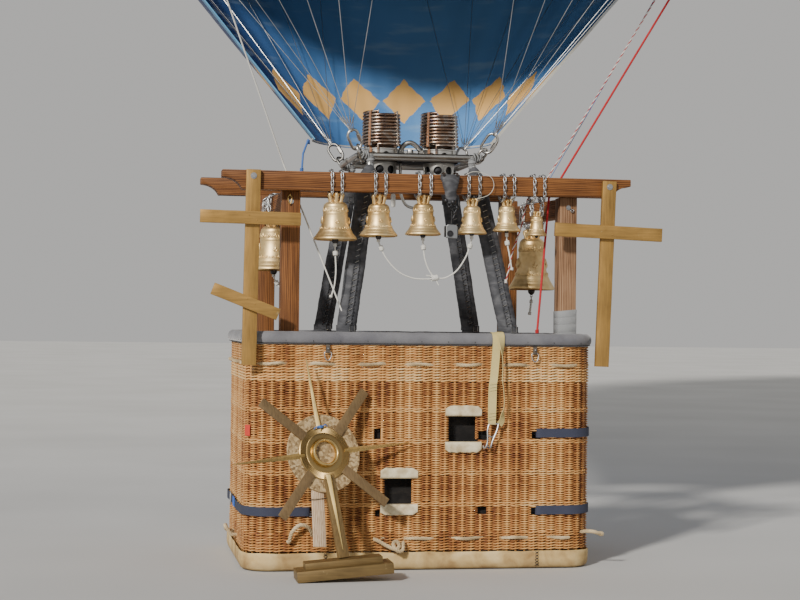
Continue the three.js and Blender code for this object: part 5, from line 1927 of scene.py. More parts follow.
outline = rounded(FRAME_HALF_X, FRAME_HALF_Y, FRAME_CORNER, 8)
frame_tube = Shape().hoop([on_frame(x, y, 0) for x, y in outline], FRAME_TUBE, 16)
frame_tube.piece("burner_frame_tube", stainless, "stainless", "burner_frame", smooth=60)
outline = rounded(GIMBAL_HALF_X, GIMBAL_HALF_Y, GIMBAL_CORNER, 6)
gimbal = Shape().hoop([on_frame(x, y, 0) for x, y in outline], GIMBAL_TUBE, 14)
lugs = Shape()
for sx in (-1, 1):
    # bosses that hold the gimbal's pins, on the inside of both side tubes
    bar(lugs, (sx * (FRAME_HALF_X + 15), 0, 0), (sx * (FRAME_HALF_X - 15.5), 0, 0), 12.5, 20)
    bar(lugs, (sx * (FRAME_HALF_X + 15), 0, 0), (sx * (FRAME_HALF_X + 19), 0, 0), 8, 6)
    bar(gimbal, (sx * GIMBAL_HALF_X, 0, 0), (sx * (FRAME_HALF_X - FRAME_TUBE - 2.5), 0, 0), 6.8, 14)
    bar(gimbal, (sx * (GIMBAL_HALF_X - 9), 0, 0), (sx * (GIMBAL_HALF_X + 13), 0, 0), 12, 16)
    for sy in (-1, 1):
        # sockets over the uprights' rods, and collars where the links sit
        bar(lugs, (sx * 255, sy * FRAME_HALF_Y, -15), (sx * 255, sy * FRAME_HALF_Y, 2), 15.6, 18)
        corner = on_frame(sx * (FRAME_HALF_X - FRAME_INSET), sy * (FRAME_HALF_Y - FRAME_INSET), 0)
        turn = Vector((-sy, sx, 0)).normalized() * 0.011
        for side in (-1, 1):
            middle = corner + turn * side * 1.6
            lugs.tube([middle - turn * 0.25, middle + turn * 0.25], 16.5, 18)
lugs.piece("burner_frame_lugs", dark_steel, "stainless", smooth=50)
gimbal.piece("gimbal_tube", dark_steel, "stainless", "gimbal", smooth=55, body=GIMBAL)
print("burner frame and gimbal")

# %% [markdown]
# ## Burners
# Each burner is a coil of ten turns, in which the liquid gas turns to vapour, over a can with two rows
# of round air holes. The holes are cut by one boolean with a ring of short bars.

# %% Cans and coils
BURNER_SIDES = (("left", -150), ("right", 150))
CAN_R = 80
COIL_LOW = 73
COIL_TURNS = 10
COIL_STEPS = 30
COIL_PITCH = 17.3
COIL_R = 96.5
COIL_TOP_R = 90.5
COIL_WIRE = 6.2
CAN_HOLES = 8
HOLE_ROWS = [
    # height over the frame, radius, turn in steps
    (25, 19, 0.0),
    (-46, 21, 0.5),
]
CAN_WALL = [(CAN_R, -124), (CAN_R, 8), (CAN_R + 6, 10), (CAN_R + 6, 54), (CAN_R + 10, 56), (CAN_R + 10, 61),
            (CAN_R + 3, 61), (CAN_R + 3, 12), (CAN_R - 3, 10), (CAN_R - 3, -124), (CAN_R, -124)]
CAN_FLOOR = [(0, -124), (CAN_R - 3.5, -124), (CAN_R - 3.5, -118), (30, -118), (28, -60), (16, -52), (16, -10),
             (0, -10)]
CAN_LINER = [(68, -116), (68, 50), (64, 50), (64, -116), (68, -116)]
STRAP_ANGLES = (-135, -45, 45, 135)
STRAP_LEVELS = (30, 62, 74, 150, 236, 250)


def burner_piece(shape, name, finish, node=None, smooth=40, **settings):
    return shape.piece(name, finish, "stainless", node, smooth, body=BURNERS, **settings)


def cut_by(made, shape):
    """Takes a shape out of a piece."""
    bars = linked("drill", new_mesh("drill", shape.points, [], shape.faces))
    cut = made.modifiers.new("holes", "BOOLEAN")
    cut.operation = "DIFFERENCE"
    cut.solver = "EXACT"
    cut.object = bars
    freeze(made)
    bpy.data.objects.remove(bars)
    shade(made, 40)
    return made


def coil_radius(z):
    """The coil narrows a little towards its top."""
    return COIL_R + (COIL_TOP_R - COIL_R) * clamped((z - COIL_LOW) / (COIL_TURNS * COIL_PITCH))


def coil_line(cx):
    line = []
    for i in range(COIL_TURNS * COIL_STEPS + 1):
        t = i / (COIL_TURNS * COIL_STEPS)
        a = TURN * i / COIL_STEPS - 1.9
        r = COIL_R + (COIL_TOP_R - COIL_R) * t
        z = COIL_LOW + 6.5 + (COIL_TURNS - 0.35) * COIL_PITCH * t
        line.append(on_frame(cx + r * cos(a), r * sin(a), z))
    return line


for name, cx in BURNER_SIDES:
    centre = on_frame(cx, 0, 0)
    can = burner_piece(Shape().turned(CAN_WALL, centre, 64), "can_" + name, stainless, smooth=0)
    drill = Shape()
    for z, r, turn in HOLE_ROWS:
        for k in range(CAN_HOLES):
            out = ray(TURN * (k + turn) / CAN_HOLES + radians(8))
            middle = on_frame(cx, 0, z)
            drill.tube([middle + out * 0.055, middle + out * 0.12], r, 22)
    cut_by(can, drill)

    line = coil_line(cx)
    inner = [centre + (p - centre) * 0.82 for p in line]
    inner = [Vector((p.x, p.y, q.z - 0.5 * COIL_PITCH * MM)) for p, q in zip(inner, line)]
    coil = Shape().tube([line[0] - mm(0, 0, 50), line[0] - mm(0, 0, 15)] + line, COIL_WIRE, 9)
    coil.tube(inner[6:], 1.15 * COIL_WIRE, 7)
    burner_piece(coil, "coil_" + name, coil_finish, "burner_" + name, 60)

    straps, copper = Shape(), Shape()
    for strap, angle in zip((copper, straps, straps, straps), STRAP_ANGLES):
        out, across = ray(radians(angle)), ray(radians(angle + 90))
        radii = [coil_radius(z) + COIL_WIRE + 1.2 if z > 70 else CAN_R + 11.4 for z in STRAP_LEVELS]
        path = [centre + out * r * MM + mm(0, 0, z) for r, z in zip(radii, STRAP_LEVELS)]
        strap.band(path, 13, 1.8, across)
        straps.band([p - out * (2 * COIL_WIRE + 2.6) * MM for p in path[2:5]], 11, 1.6, across)
        for z in (COIL_LOW + 15 + turn * COIL_PITCH for turn in range(COIL_TURNS)):
            p, r = centre + mm(0, 0, z), coil_radius(z) + COIL_WIRE
            straps.tube([p + out * (r - 2 * COIL_WIRE - 3) * MM, p + out * (r + 4) * MM], 2.3, 6)
    burner_piece(straps, "coil_straps_" + name, stainless)
    burner_piece(copper, "copper_strap_" + name, copper_strap)

    jets = Shape().turned(CAN_FLOOR, centre, 32).turned(CAN_LINER, centre, 32)
    jets.hoop([centre + ray(a) * 0.05 + mm(0, 0, 44) for a in circle(32)], 7)
    for p in (centre + ray(a) * 0.058 + mm(0, 0, 50) for a in circle(12)):
        jets.tube([p, p + mm(0, 0, 12)], 2.6)
    for out in (ray(a) for a in circle(3)):
        legs = ((0.014, -30), (0.04, 20), (0.058, 40))
        jets.tube(smooth([centre + out * r + mm(0, 0, z) for r, z in legs], 10), 4)
    burner_piece(jets, "jets_" + name, black_steel, smooth=45)
    print("can", name, triangles(can), "triangles")

# %% [markdown]
# The burners' plate swings on two pins in the gimbal. A valve body with elbows to both cans stands on it,
# and two things hang under it: a bent grab handle and the white grip of the pilot valve.

# %% Burner plate and valves
PLATE_HALF_W = 238
PLATE_HALF_D = 92
PLATE_CORNER = 30
PLATE_HALF_T = 7
ELBOW = [(-50, 8, 30), (-46, 8, 62), (-26, 4, 90), (4, 0, 98), (34, 0, 80), (56, 0, 54), (64, 0, 30)]
GRAB_HANDLE = [(-50, -4, -6), (-50, -4, -120), (-46, -4, -165), (-20, -4, -220), (30, -4, -236),
               (70, -4, -214), (84, -4, -160), (84, -4, -6)]
GRIP = [(0, -234), (9, -232), (12, -224), (12.5, -176), (10, -166), (0, -164)]

outline = rounded(PLATE_HALF_W, PLATE_HALF_D, PLATE_CORNER, 6)
plate = Shape().prism(outline, (-PLATE_HALF_T, PLATE_HALF_T), on_frame)
drills, valves, pipes = Shape(), Shape(), Shape()
for _, cx in BURNER_SIDES:
    drills.turned([(0, -30), (CAN_R + 1, -30), (CAN_R + 1, 30), (0, 30)], on_frame(cx, 0, 0), 64)
plate = cut_by(burner_piece(plate, "burner_plate", plate_black, "burner_block", 0), drills)
for sy in (-1, 1):
    bar(valves, (0, sy * (PLATE_HALF_D - 7), 0), (0, sy * (GIMBAL_HALF_Y - GIMBAL_TUBE - 1), 0), 6.8, 14)
    for sx in (-1, 1):
        bar(valves, (sx * 40, sy * 70, PLATE_HALF_T), (sx * 40, sy * 70, PLATE_HALF_T + 7), 9, 6)
valves.block(on_frame(-26, -34, 7), on_frame(26, 34, 44))
bar(valves, (0, 0, 40), (0, 0, 62), 17, 6)
for sx in (-1, 1):
    # the lever of each main valve, over the plate's front edge
    lever = ((sx * 14, -30, 30), (sx * 14, -60, 34), (sx * 22, -86, 24))
    valves.tube(smooth([on_frame(*p) for p in lever], 6), 5)
valves.tube(smooth([on_frame(*p) for p in GRAB_HANDLE], 10), 7.5, 12)
bar(valves, (-86, -6, -6), (-86, -6, -166), 3, 8)
pipes.tube(smooth([on_frame(*p) for p in ELBOW], 6), 13, 14)
for low, high in (ELBOW[:2], ELBOW[5:]):
    bar(pipes, low, high, 17.5, 6)
burner_piece(pipes, "elbow_pipe", dark_steel, smooth=50)
burner_piece(valves, "valves", stainless, smooth=45, bevel=1.5)
grip = Shape().turned(GRIP, on_frame(-86, -6, 0), 20)
grip.piece("white_grip", white_cord, "white_cord", smooth=50, body=BURNERS)
print("plate", triangles(plate), "triangles")

# %% [markdown]
# Envelope cloth is painted: zigzag bands of sky blue and gold over deep blue, counted by angle and height.
# The scoop's blue is lighter a little right of its middle and navy towards its left edge, as painted light
# and shade, with pale streaks and a row of soft gold diamonds. All of it is coated nylon.

# %% Envelope cloth
SKY_BLUE = (0.10, 0.32, 0.62)
DEEP_BLUE = (0.020, 0.085, 0.30)
NAVY = (0.012, 0.045, 0.19)
GOLD = (0.72, 0.50, 0.12)
SCOOP_BLUE = (0.085, 0.24, 0.55)


def coated(name, colour_of):
    f = Finish(name)
    x, y, z = f.node("ShaderNodeSeparateXYZ", {0: f.place}).outputs
    weave = f.noise(26, 3)
    f.relief(weave, 0.06, 0.002)
    haze = f.ramp(f.noise(1.4, 3), [(0.35, (0.82, 0.82, 0.82)), (0.65, WHITE)])
    colour = colour_of(f, f.math("ARCTAN2", y, x), z)
    return f.set(f.mix(1.0, colour, haze, "MULTIPLY"), f.spread(weave, 0.42, 0.6))


def zigzag(f, turn, count, height):
    """Rises and falls by a height, count times round the axis."""
    share = f.math("FRACT", f.times(turn, count / TURN))
    return f.times(f.math("ABSOLUTE", f.math("SUBTRACT", share, 0.5)), 2 * height)


def envelope_bands(f, turn, z):
    level = f.plus(f.math("DIVIDE", f.math("SUBTRACT", z, zigzag(f, turn, 12, 1.1)), 18.0), 1.0)
    made = f.ramp(level, [(0.0, DEEP_BLUE), (0.36, SKY_BLUE), (0.42, GOLD), (0.455, (0.80, 0.76, 0.62)),
                          (0.475, NAVY), (0.60, SKY_BLUE), (0.66, DEEP_BLUE), (0.86, GOLD), (0.89, NAVY)])
    made.node.color_ramp.interpolation = "CONSTANT"
    return made


def scoop_bands_and_shade(f, turn, z):
    # Painted light and shade: the blue is lighter a little right of the middle and turns navy towards the
    # left edge.
    side = f.ramp(f.spread(f.math("DIVIDE", turn, pi), 0.0, 1.0),
                  [(0.0, SCOOP_BLUE), (0.40, (0.125, 0.31, 0.62)), (0.62, SCOOP_BLUE),
                   (0.80, (0.016, 0.042, 0.16))])
    cloud = f.ramp(f.noise(3.2, 4, f.mapped((1, 1, 5))), [(0.55, BLACK), (0.72, (0.35, 0.35, 0.35))])
    side = f.mix(cloud, side, (0.42, 0.58, 0.72))
    reach = f.math("ABSOLUTE", f.plus(z, 17.08))
    reach = f.plus(reach, zigzag(f, turn, 20, 0.15), f.times(f.noise(16, 3), 0.05))
    return f.mix(f.math("LESS_THAN", reach, 0.16), side, (0.84, 0.50, 0.17))


def valve_bands(f, turn, z):
    return f.ramp(f.math("LESS_THAN", zigzag(f, turn, 12, 1.0), 0.5), [(0.2, SKY_BLUE), (0.8, GOLD)])


def plain_cloth(colour):
    return lambda f, turn, z: f.ramp(f.noise(9, 3), [(0.35, toned(colour, 0.8)), (0.65, colour)])


envelope_cloth = coated("envelope_cloth", envelope_bands)
scoop_cloth = coated("scoop_cloth", scoop_bands_and_shade)
valve_cloth = coated("valve_cloth", valve_bands)
tape_navy = coated("load_tape", plain_cloth((0.02, 0.03, 0.07)))
seam_tape = coated("seam_tape", plain_cloth((0.06, 0.20, 0.45)))
# A brighter blue for the strip down the scoop's left edge: painted light.
painted_light_blue = coated("painted_light_blue", plain_cloth((0.14, 0.42, 0.72)))
cream_tape = coated("cream_tape", plain_cloth((0.72, 0.70, 0.62)))
print("envelope cloth")

# %% [markdown]
# ## Flying wires
# At each corner a bow shackle and a long oval carabiner with a screwed sleeve gather six wires. Each wire
# ends in an eye round the carabiner, closed by a pressed sleeve, and fans out to the load tapes.

# %% Flying wires
MOUTH_R = 2100
MOUTH_Z = 4050
WIRES = 6
GORE = 15
WIRE_EYE = [(58, 0), (30, 7), (4, 8.5), (-4, 0), (4, -8.5), (30, -7), (62, 0)]
CORNERS = [
    # name, side in X, side in Y
    ("fl", -1, -1), ("fr", 1, -1), ("rl", -1, 1), ("rr", 1, 1),
]

for name, sx, sy in CORNERS:
    lean = Vector((0.44 * sx, 0.44 * sy, 0.78)).normalized()
    seat = on_frame(sx * (FRAME_HALF_X - FRAME_INSET), sy * (FRAME_HALF_Y - FRAME_INSET), 0)
    wide = Vector((0.93, 0.37 * sx * sy, 0))
    wide = (wide - lean * wide.dot(lean)).normalized()
    hooks, rigging = Shape(), Shape()
    bow = oval(88, 54, 8, lean, lean.cross(wide) * 0.8 + wide * 0.6)
    hooks.hoop([seat + lean * 12 * MM + p for p in bow], 6.5, 9)
    hooks.hoop([seat + lean * 91 * MM + p for p in oval(106, 56, 8, lean, wide)], 7, 9)
    gate = seat + lean * 91 * MM + wide * 26 * MM
    hooks.tube([gate - lean * 0.020, gate + lean * 0.016], 10.5, 6)
    knot = seat + lean * 138 * MM
    for i in range(WIRES):
        a = atan2(sy, sx) + radians(GORE * (i - (WIRES - 1) / 2))
        top = at((MOUTH_R - 40) * cos(a), (MOUTH_R - 40) * sin(a), MOUTH_Z - 6)
        out = (top - knot).normalized()
        aside = out.cross(UP).normalized()
        rigging.tube(smooth([knot + (out * r + aside * d) * MM for r, d in WIRE_EYE], 6), 1.4, 6)
        rigging.tube([knot + out * 0.05, knot + out * 0.086], 3.4)
        rigging.tube([knot + out * 0.08, top], 1.5, 6)
        rigging.tube([top - out * 0.12, top - out * 0.085], 3.4)
    # The rear shackles take the darker steel as painted shade; the front ones are bright stainless.
    finish = stainless if sy < 0 else dark_steel
    hooks.piece("shackles_" + name, finish, "stainless", "flying_wires_" + name, smooth=50)
    rigging.piece("wires_" + name, wire_steel, "stainless", smooth=50)
print("flying wires")

# %% [markdown]
# ## Padded uprights
# Each upright is a pole in a padded leather sleeve. The sleeve is laced up along its middle with gathered
# flaps, and buckled at the foot and the neck. White tape binds the rod's head to the burner frame.

# %% Uprights
UPRIGHT_FOOT = {-1: -367, 1: 447}
SLEEVE = [
    # share of the height over the bend, half width, half depth
    (0.0, 50, 38), (0.86, 49, 37), (0.915, 41, 33), (0.95, 24, 21), (0.962, 15, 15),
]
SLEEVE_STEPS = 150
SLEEVE_SIDES = 40
BEND = 0.256
OVER_BEND = 1 - BEND
BUCKLES = (0.29, 0.86)


def sleeve_half(s):
    """Half width and half depth of the sleeve at a share of its middle line."""
    t = max(0, (s - BEND) / OVER_BEND)
    for a, b in zip(SLEEVE, SLEEVE[1:]):
        if t <= b[0]:
            share = max(0, (t - a[0]) / (b[0] - a[0]))
            return [a[k] + (b[k] - a[k]) * share for k in (1, 2)]
    return SLEEVE[-1][1:]


for name, sx, sy in CORNERS:
    foot = at(UPRIGHT_FOOT[sx], sy * 442, 1120)
    low = at(UPRIGHT_FOOT[sx], sy * 442, 820)
    head = on_frame(sx * (FRAME_HALF_X - FRAME_CORNER), sy * FRAME_HALF_Y, -15)

    def middle(s):
        """A point of the upright's middle line; s is 0 at the foot of the sleeve and 1 at the frame."""
        if s < BEND:
            return low + (foot - low) * (s / BEND)
        return foot + (head - foot) * ((s - BEND) / OVER_BEND)

    rings = []
    for s in (i / SLEEVE_STEPS * (BEND + SLEEVE[-1][0] * OVER_BEND) for i in range(SLEEVE_STEPS + 1)):
        wide, deep = sleeve_half(s)
        press = sum(exp(-((s - c) / 0.009) ** 2) for c in BUCKLES)
        ring = []
        for a in circle(SLEEVE_SIDES):
            p = mm(wide * cos(a), deep * sin(a), 0)
            x, y, z = place = middle(s) + p
            crease = uneven(x * 16 + 7 * sx, y * 16 + 5 * sy, z * 9)
            fold = uneven(x * 34, y * 34, z * 60)
            pinch = exp(-((cos(a * 0.5 + pi / 4)) / 0.12) ** 2)
            ring.append(place + p * (0.05 * crease + 0.035 * fold - 0.10 * pinch - 0.07 * press - 0.03))
        rings.append(ring)
    sleeve = Shape().rings(rings)
    made = sleeve.piece("sleeve_" + name, sleeve_leather, "sleeve_leather", "upright_" + name, smooth=70)

    seam, fittings, tape = Shape(), Shape(), Shape()
    for side in (-1, 1):
        # gathered flaps on both sides of the lacing, down the middle of the front
        line, across = [], []
        for i in range(191):
            wave = sin(i * 1.25 + 2 * side) + 0.5 * sin(i * 0.41)
            out = mm(side * (10 + 1.6 * wave), -(37 + 2.2 * (1 + sin(i * 1.25 + side))), 0)
            line.append(middle(0.30 + 0.54 * i / 190) + out)
            across.append(Vector((side, -0.8 - 0.25 * cos(i * 1.25), 0)))
        seam.band(line, 9.5, 2.4, across)
    for p in (middle(0.31 + 0.52 * i / 21) + mm(0, -39.5, 0) for i in range(22)):
        fittings.tube([p - mm(10, 0, 0), p + mm(10, -2, 9)], 1.6, 6)
    for s in BUCKLES:
        wide, deep = [half - 1 for half in sleeve_half(s)]
        loop = [middle(s) + mm(wide * cos(a), deep * sin(a), 0) for a in circle(36) + [TURN]]
        seam.band(loop, 24, 3, UP)
        p = middle(s) + mm(22, -deep - 1, 0)
        fittings.hoop([p + mm(11 * x, -2, 16 * z) for x, z in SQUARE], 2, 6)
    seam.piece("sleeve_flaps_" + name, sleeve_leather, "sleeve_leather", smooth=60)
    fittings.tube([middle(0.95), head + mm(0, 0, 2)], 12.5, 16)
    fittings.piece("sleeve_fittings_" + name, stainless, "stainless", smooth=50)

    rings = []
    for i in range(15):
        r = 17.5 + 2.2 * sin(i * 1.9) + (3 if 6 < i < 12 else 0)
        rings.append([head + mm(r * cos(a), r * sin(a), -40 + 4 * i + 3 * sin(a + i)) for a in circle(18)])
    tape.rings(rings)
    for k in range(3):
        centre = head + mm(sx * (12 + 13 * k), 0, 16)
        loop = [centre + mm(4 * sin(a * 2 + k), 18.5 * cos(a), 18.5 * sin(a)) for a in circle(20)]
        tape.hoop(loop, 4.5, 6, deep=1.5)
    tape.piece("head_tape_" + name, grey_tape, "white_cord", smooth=60)
print("uprights")

# %% [markdown]
# ## Inside the basket
# The floor is plywood on three hardwood runners. Four fuel cylinders stand in quilted jackets, two at
# each end, belted to the walls, each with a guard ring, a valve with a hand wheel and a gauge on top.

# %% Floor and cylinders
RUNNER = [(-740, 8), (-722, 1), (-700, 0), (700, 0), (722, 1), (740, 8), (740, 19.5), (-740, 19.5)]
JACKET = [(0, 0), (136, 0), (150, 6), (154, 22),
          *[(154 - 1.6 * exp(-((z % 88 - 44) / 5) ** 2), z) for z in range(30, 640, 8)],
          (154, 642), (150, 668), (139, 698), (118, 716), (92, 724), (0, 726)]
GUARD_RING = [(96, 722), (98, 724), (98, 784), (94, 788), (92, 784), (92, 724), (96, 722)]
VALVE_STEM = [(0, 722), (24, 722), (24, 744), (14, 748), (14, 768), (0, 768)]
GAUGE = [(0, 724), (21, 724), (22, 738), (0, 742)]

floor_shape = Shape().block(at(-818, -493, 20), at(818, 493, 45))
floor_shape.piece("floor_boards", ply, "floor_ply", "floor", smooth=0, bevel=3)
runners = Shape()
for y in (-300, 0, 300):
    runners.prism(RUNNER, (y - 35, y + 35), facing)
runners.piece("floor_runners", weathered_z, "floor_ply", smooth=0, bevel=2)

for name, sx, sy in CORNERS:
    centre = at(sx * 655, sy * 165, 45.3)
    jacket = Shape().turned(JACKET, centre, 48)
    jacket.piece("jacket_" + name, jacket_cloth, "cylinder_jacket", "fuel_cylinder_" + name, smooth=50)
    belts = Shape()
    for z in (190, 470):
        belts.turned([(153, z - 24), (157, z - 23), (157, z + 23), (153, z + 24)], centre, 48)
    belts.block(centre + mm(-20, -sy * 159, 165), centre + mm(30, -sy * 154, 215))
    belts.piece("cylinder_belts_" + name, black_webbing, "cylinder_jacket")
    top = Shape().turned(GUARD_RING, centre, 40).turned(VALVE_STEM, centre, 20)
    top.tube([centre + mm(0, 0, 757), centre + mm(-sx * 70, 0, 757)], 9, 12)
    top.tube([centre + mm(-sx * 60, 0, 757), centre + mm(-sx * 75, 0, 757)], 14, 6)
    wheel = [centre + mm(30 * cos(a), 30 * sin(a), 781) for a in circle(24)]
    top.hoop(wheel, 4)
    for p in wheel[::6]:
        top.tube([p, centre + mm(0, 0, 776)], 3, 6)
    top.turned(GAUGE, centre + mm(sx * 30, sy * 52, 0), 20)
    top.piece("cylinder_top_" + name, dark_steel, "stainless", smooth=50)
print("floor and cylinders")

# %% [markdown]
# ## Envelope
# Load tapes hang in the natural shape of a balloon: the curve grows with the radius and with the height
# over the mouth, which is the pressure there. Fabric bulges between them, and again between the seams.

# %% Envelope shape
GORES = 24
FILL_CURVATURE = 0.00205
GORE_BULGE = 0.018
SEAM_PUFF = 0.0022
SEAM_ROWS = 8
SKIN = 10
VENT_R = 2200
VALVE_RADII = [0, 300, 600, 900, 1200, 1500, 1800, 2050, 2250, 2400, 2520]
CROWN_RING_R = 150
ROWS = 112
PER_GORE = 8


def natural_shape(step=20):
    """Radius, height and slope of the tapes, from the mouth up."""
    r, z, slope = MOUTH_R, MOUTH_Z, radians(45)
    line = []
    while r > step and slope > -pi / 2:
        line.append((r, z, slope))
        slope -= FILL_CURVATURE * (r / 1000) * ((z - MOUTH_Z) / 1000) * (step / 1000)
        r += step * sin(slope)
        z += step * cos(slope)
    return line


natural = natural_shape()
vent = next(i for i, (r, z, slope) in enumerate(natural) if slope < 0 and r <= VENT_R)
panel_rows = [natural[round(vent * i / ROWS)] for i in range(ROWS + 1)]


def skin_ring(row, depth):
    """A ring of the envelope's skin; depth is how far under the cloth's face it lies."""
    r, z, slope = panel_rows[row]
    r, z = r - depth * cos(slope), z + depth * sin(slope)
    puff = SEAM_PUFF * sin(pi * (row % SEAM_ROWS) / SEAM_ROWS)
    ring = []
    for j in range(GORES * PER_GORE):
        u = 2 * (j % PER_GORE) / PER_GORE - 1
        a = radians(GORE * (j / PER_GORE - 0.5))
        out = r * (1 + (GORE_BULGE + puff) * (1 - u * u))
        ring.append(at(out * cos(a), out * sin(a), z))
    return ring


faces = [(i, 0) for i in range(ROWS + 1)] + [(i, SKIN) for i in range(ROWS, -1, -1)]
skin = Shape().rings([skin_ring(*face) for face in faces], closed=True)
skin.piece("envelope_skin", envelope_cloth, "envelope_fabric", "envelope", smooth=60)
print("envelope", ROWS, "rows, widest", round(max(r for r, z, slope in natural)), "mm")

# %% [markdown]
# The tapes are sewn along every seam and run on over the vent to the crown ring. Every eighth row has a
# narrow seam tape across. The valve is a disc of the same gores, in wedges of sky blue and gold.

# %% Tapes, crown ring and valve
def crown_z(radius):
    """Height of the tapes' curve at a radius over the vent."""
    return next((z for r, z, slope in natural if slope < 0 and r <= radius), natural[-1][1])


tapes, seams, crown = Shape(), Shape(), Shape()
for k in range(GORES):
    out, across = ray(radians(GORE * (k + 0.5))), ray(radians(GORE * (k + 0.5) + 90))
    line = [at(0, 0, z + 2) + out * (r + 2) * MM for r, z, slope in panel_rows[::2]]
    tapes.band(line, 30, 3, across)
    over = [panel_rows[-1][0] * (1 - i / 12) + (CROWN_RING_R - 6) * i / 12 for i in range(13)]
    crown.band([at(0, 0, crown_z(r) + 4) + out * r * MM for r in over], 28, 3.5, across)
for row in range(SEAM_ROWS, ROWS, SEAM_ROWS):
    slope = panel_rows[row][2]
    outward = [Vector((p.x, p.y, 0)).normalized() for p in skin_ring(row, 0)]
    line = [p + out * 0.0008 for p, out in zip(skin_ring(row, 0), outward)]
    across = [UP * cos(slope) + out * sin(slope) for out in outward]
    seams.band(line + line[:2], 14, 1.6, across + across[:2])
for row in (0, ROWS):
    tapes.hoop(skin_ring(row, 3), 11)
tapes.piece("load_tapes", tape_navy, "load_tape", smooth=50)
seams.piece("cross_seams", seam_tape, "envelope_fabric", smooth=50)
inner = CROWN_RING_R * 0.96
crown.hoop([(inner * cos(a), inner * sin(a), crown_z(CROWN_RING_R) + 4) for a in circle(48)], 7, 10)
crown.piece("crown_hoop", tape_navy, "load_tape", "crown_ring", smooth=50)

rings = []
for depth, radii in ((0, VALVE_RADII), (SKIN, VALVE_RADII[::-1])):
    for r in radii:
        ring = []
        for j in range(GORES * 4):
            u = (j % 4) / 2 - 1
            a = radians(GORE * (j / 4 - 0.5))
            sag = 14 * (1 - u * u) * r / VALVE_RADII[-1]
            ring.append(at(r * cos(a), r * sin(a), crown_z(max(r, 60)) - 24 - depth - sag))
        rings.append(ring)
Shape().rings(rings).piece("valve_disc", valve_cloth, "envelope_fabric", "parachute_valve", smooth=60,
                           body="valve")
print("tapes and valve")

# %% [markdown]
# ## Scoop
# A sheet stretched from the rear half of the mouth down to the burners. It is cut as a fan, 6.7 metres
# along its top and 1.5 along its lower hem, with cream tape on its free edges. A strip of brighter blue
# down its left edge is painted light, where that edge turns to the light.

# %% Scoop
SCOOP_LOW = (8, 150, 2125)
SCOOP_HALF_X = 470
SCOOP_HALF_Y = 440
SCOOP_SPAN = 184
SCOOP_COLUMNS = 144
SCOOP_ROWS = 60
EDGE_X = 0.64
EDGE_Z = -0.77


def scoop_point(u, t, lift=-3.0):
    """A point of the sheet: u from the right edge to the left, t from the hem to the mouth."""
    x, y, z = SCOOP_LOW
    a = radians(90 - SCOOP_SPAN / 2 + SCOOP_SPAN * u)
    low = Vector((x + SCOOP_HALF_X * cos(a), y + SCOOP_HALF_Y * sin(a), z))
    high = Vector((MOUTH_R * cos(a), MOUTH_R * sin(a), MOUTH_Z - 2))
    wave = 9 * sin(pi * t) * sin(24 * pi * u) ** 2 + 5 * uneven(9 * u, 5 * t, 3)
    p = low + (high - low) * t
    return at(p.x + (lift - wave) * cos(a), p.y + (lift - wave) * sin(a), p.z)


def scoop_row(t, lift):
    return [scoop_point(i / SCOOP_COLUMNS, t, lift) for i in range(SCOOP_COLUMNS + 1)]


levels = [j / SCOOP_ROWS for j in range(SCOOP_ROWS + 1)]
cloth = Shape().rings([scoop_row(t, -4.5) + scoop_row(t, -1.5)[::-1] for t in levels], caps=False)
n = SCOOP_COLUMNS + 1
for start in (0, SCOOP_ROWS * 2 * n):
    for i in range(n - 1):
        cloth.faces.append((start + i, start + i + 1, start + 2 * n - 2 - i, start + 2 * n - 1 - i))
        cloth.uvs.extend([(0, 0)] * 4)
scoop = cloth.piece("scoop_sheet", scoop_cloth, "envelope_fabric", "scoop", smooth=60)

edges, lit_edge_strip = Shape(), Shape()
steps = [j / 40 for j in range(41)]
for u in (0.001, 0.991):
    edges.band([scoop_point(u, t) for t in steps], 13, 6, Vector((EDGE_X, 0.2, EDGE_Z)))
edges.band(scoop_row(0.003, -3), 12, 6, UP)
# The brighter strip down the left edge is painted light.
lit_edge_strip.band([scoop_point(0.997, t) for t in steps], 54, 6.5, Vector((EDGE_X, -0.8, EDGE_Z)))
edges.piece("scoop_edge_tape", cream_tape, "load_tape", smooth=50)
lit_edge_strip.piece("scoop_hem", painted_light_blue, "envelope_fabric", smooth=50)
print("scoop", triangles(scoop), "triangles")

# %% [markdown]
# ## Rigging lines and small gear
# Red, red and white, blue and white lines run from the basket and the timbers up to the envelope's mouth.
# They are under tension, so they are straight between the points where they bear.

# %% Taut lines
STRIPED = [(425, -440, 1390), (460, -432, 1545), (500, -430, 1655), (533, -430, 1800), (634, -428, 1908),
           (2050, 201, 4044)]
STRIPE_LAY = 0.045
STRIPE_OFF = 0.0019
TAUT_LINES = [
    # name, finish, radius, turn of its strand, points
    ("red_line", red_cord, 5.5, None, [(572, -492, 1146), (640, -434, 1809), (2055, -140, 4044)]),
    ("striped_line", red_cord, 2.4, 0, STRIPED),
    ("striped_line_fleck", white_cord, 2.8, pi, STRIPED),
    ("thin_blue_line", blue_cord, 1.7, None, [(612, -434, 1800), (648, -425, 1908), (2040, 287, 4044)]),
    ("white_line", white_cord, 4.0, None,
     [(-350, -455, 1150), (-567, -395, 1697), (-672, -390, 1948), (-1559, -1346, 4044)]),
    ("blue_tie", blue_cord, 5.5, None, [(-532, 40, 1952), (-524, 60, 2040), (-490, 124, 2120)]),
]


def laid(line, turn):
    """One of two strands that wind round each other along a line."""
    run = 0
    path = []
    for p, before, (side, up) in zip(line, [line[0]] + line, carried(line)):
        run += (p - before).length
        a = TURN * run / STRIPE_LAY + turn
        path.append(p + (side * cos(a) + up * sin(a)) * STRIPE_OFF)
    return path


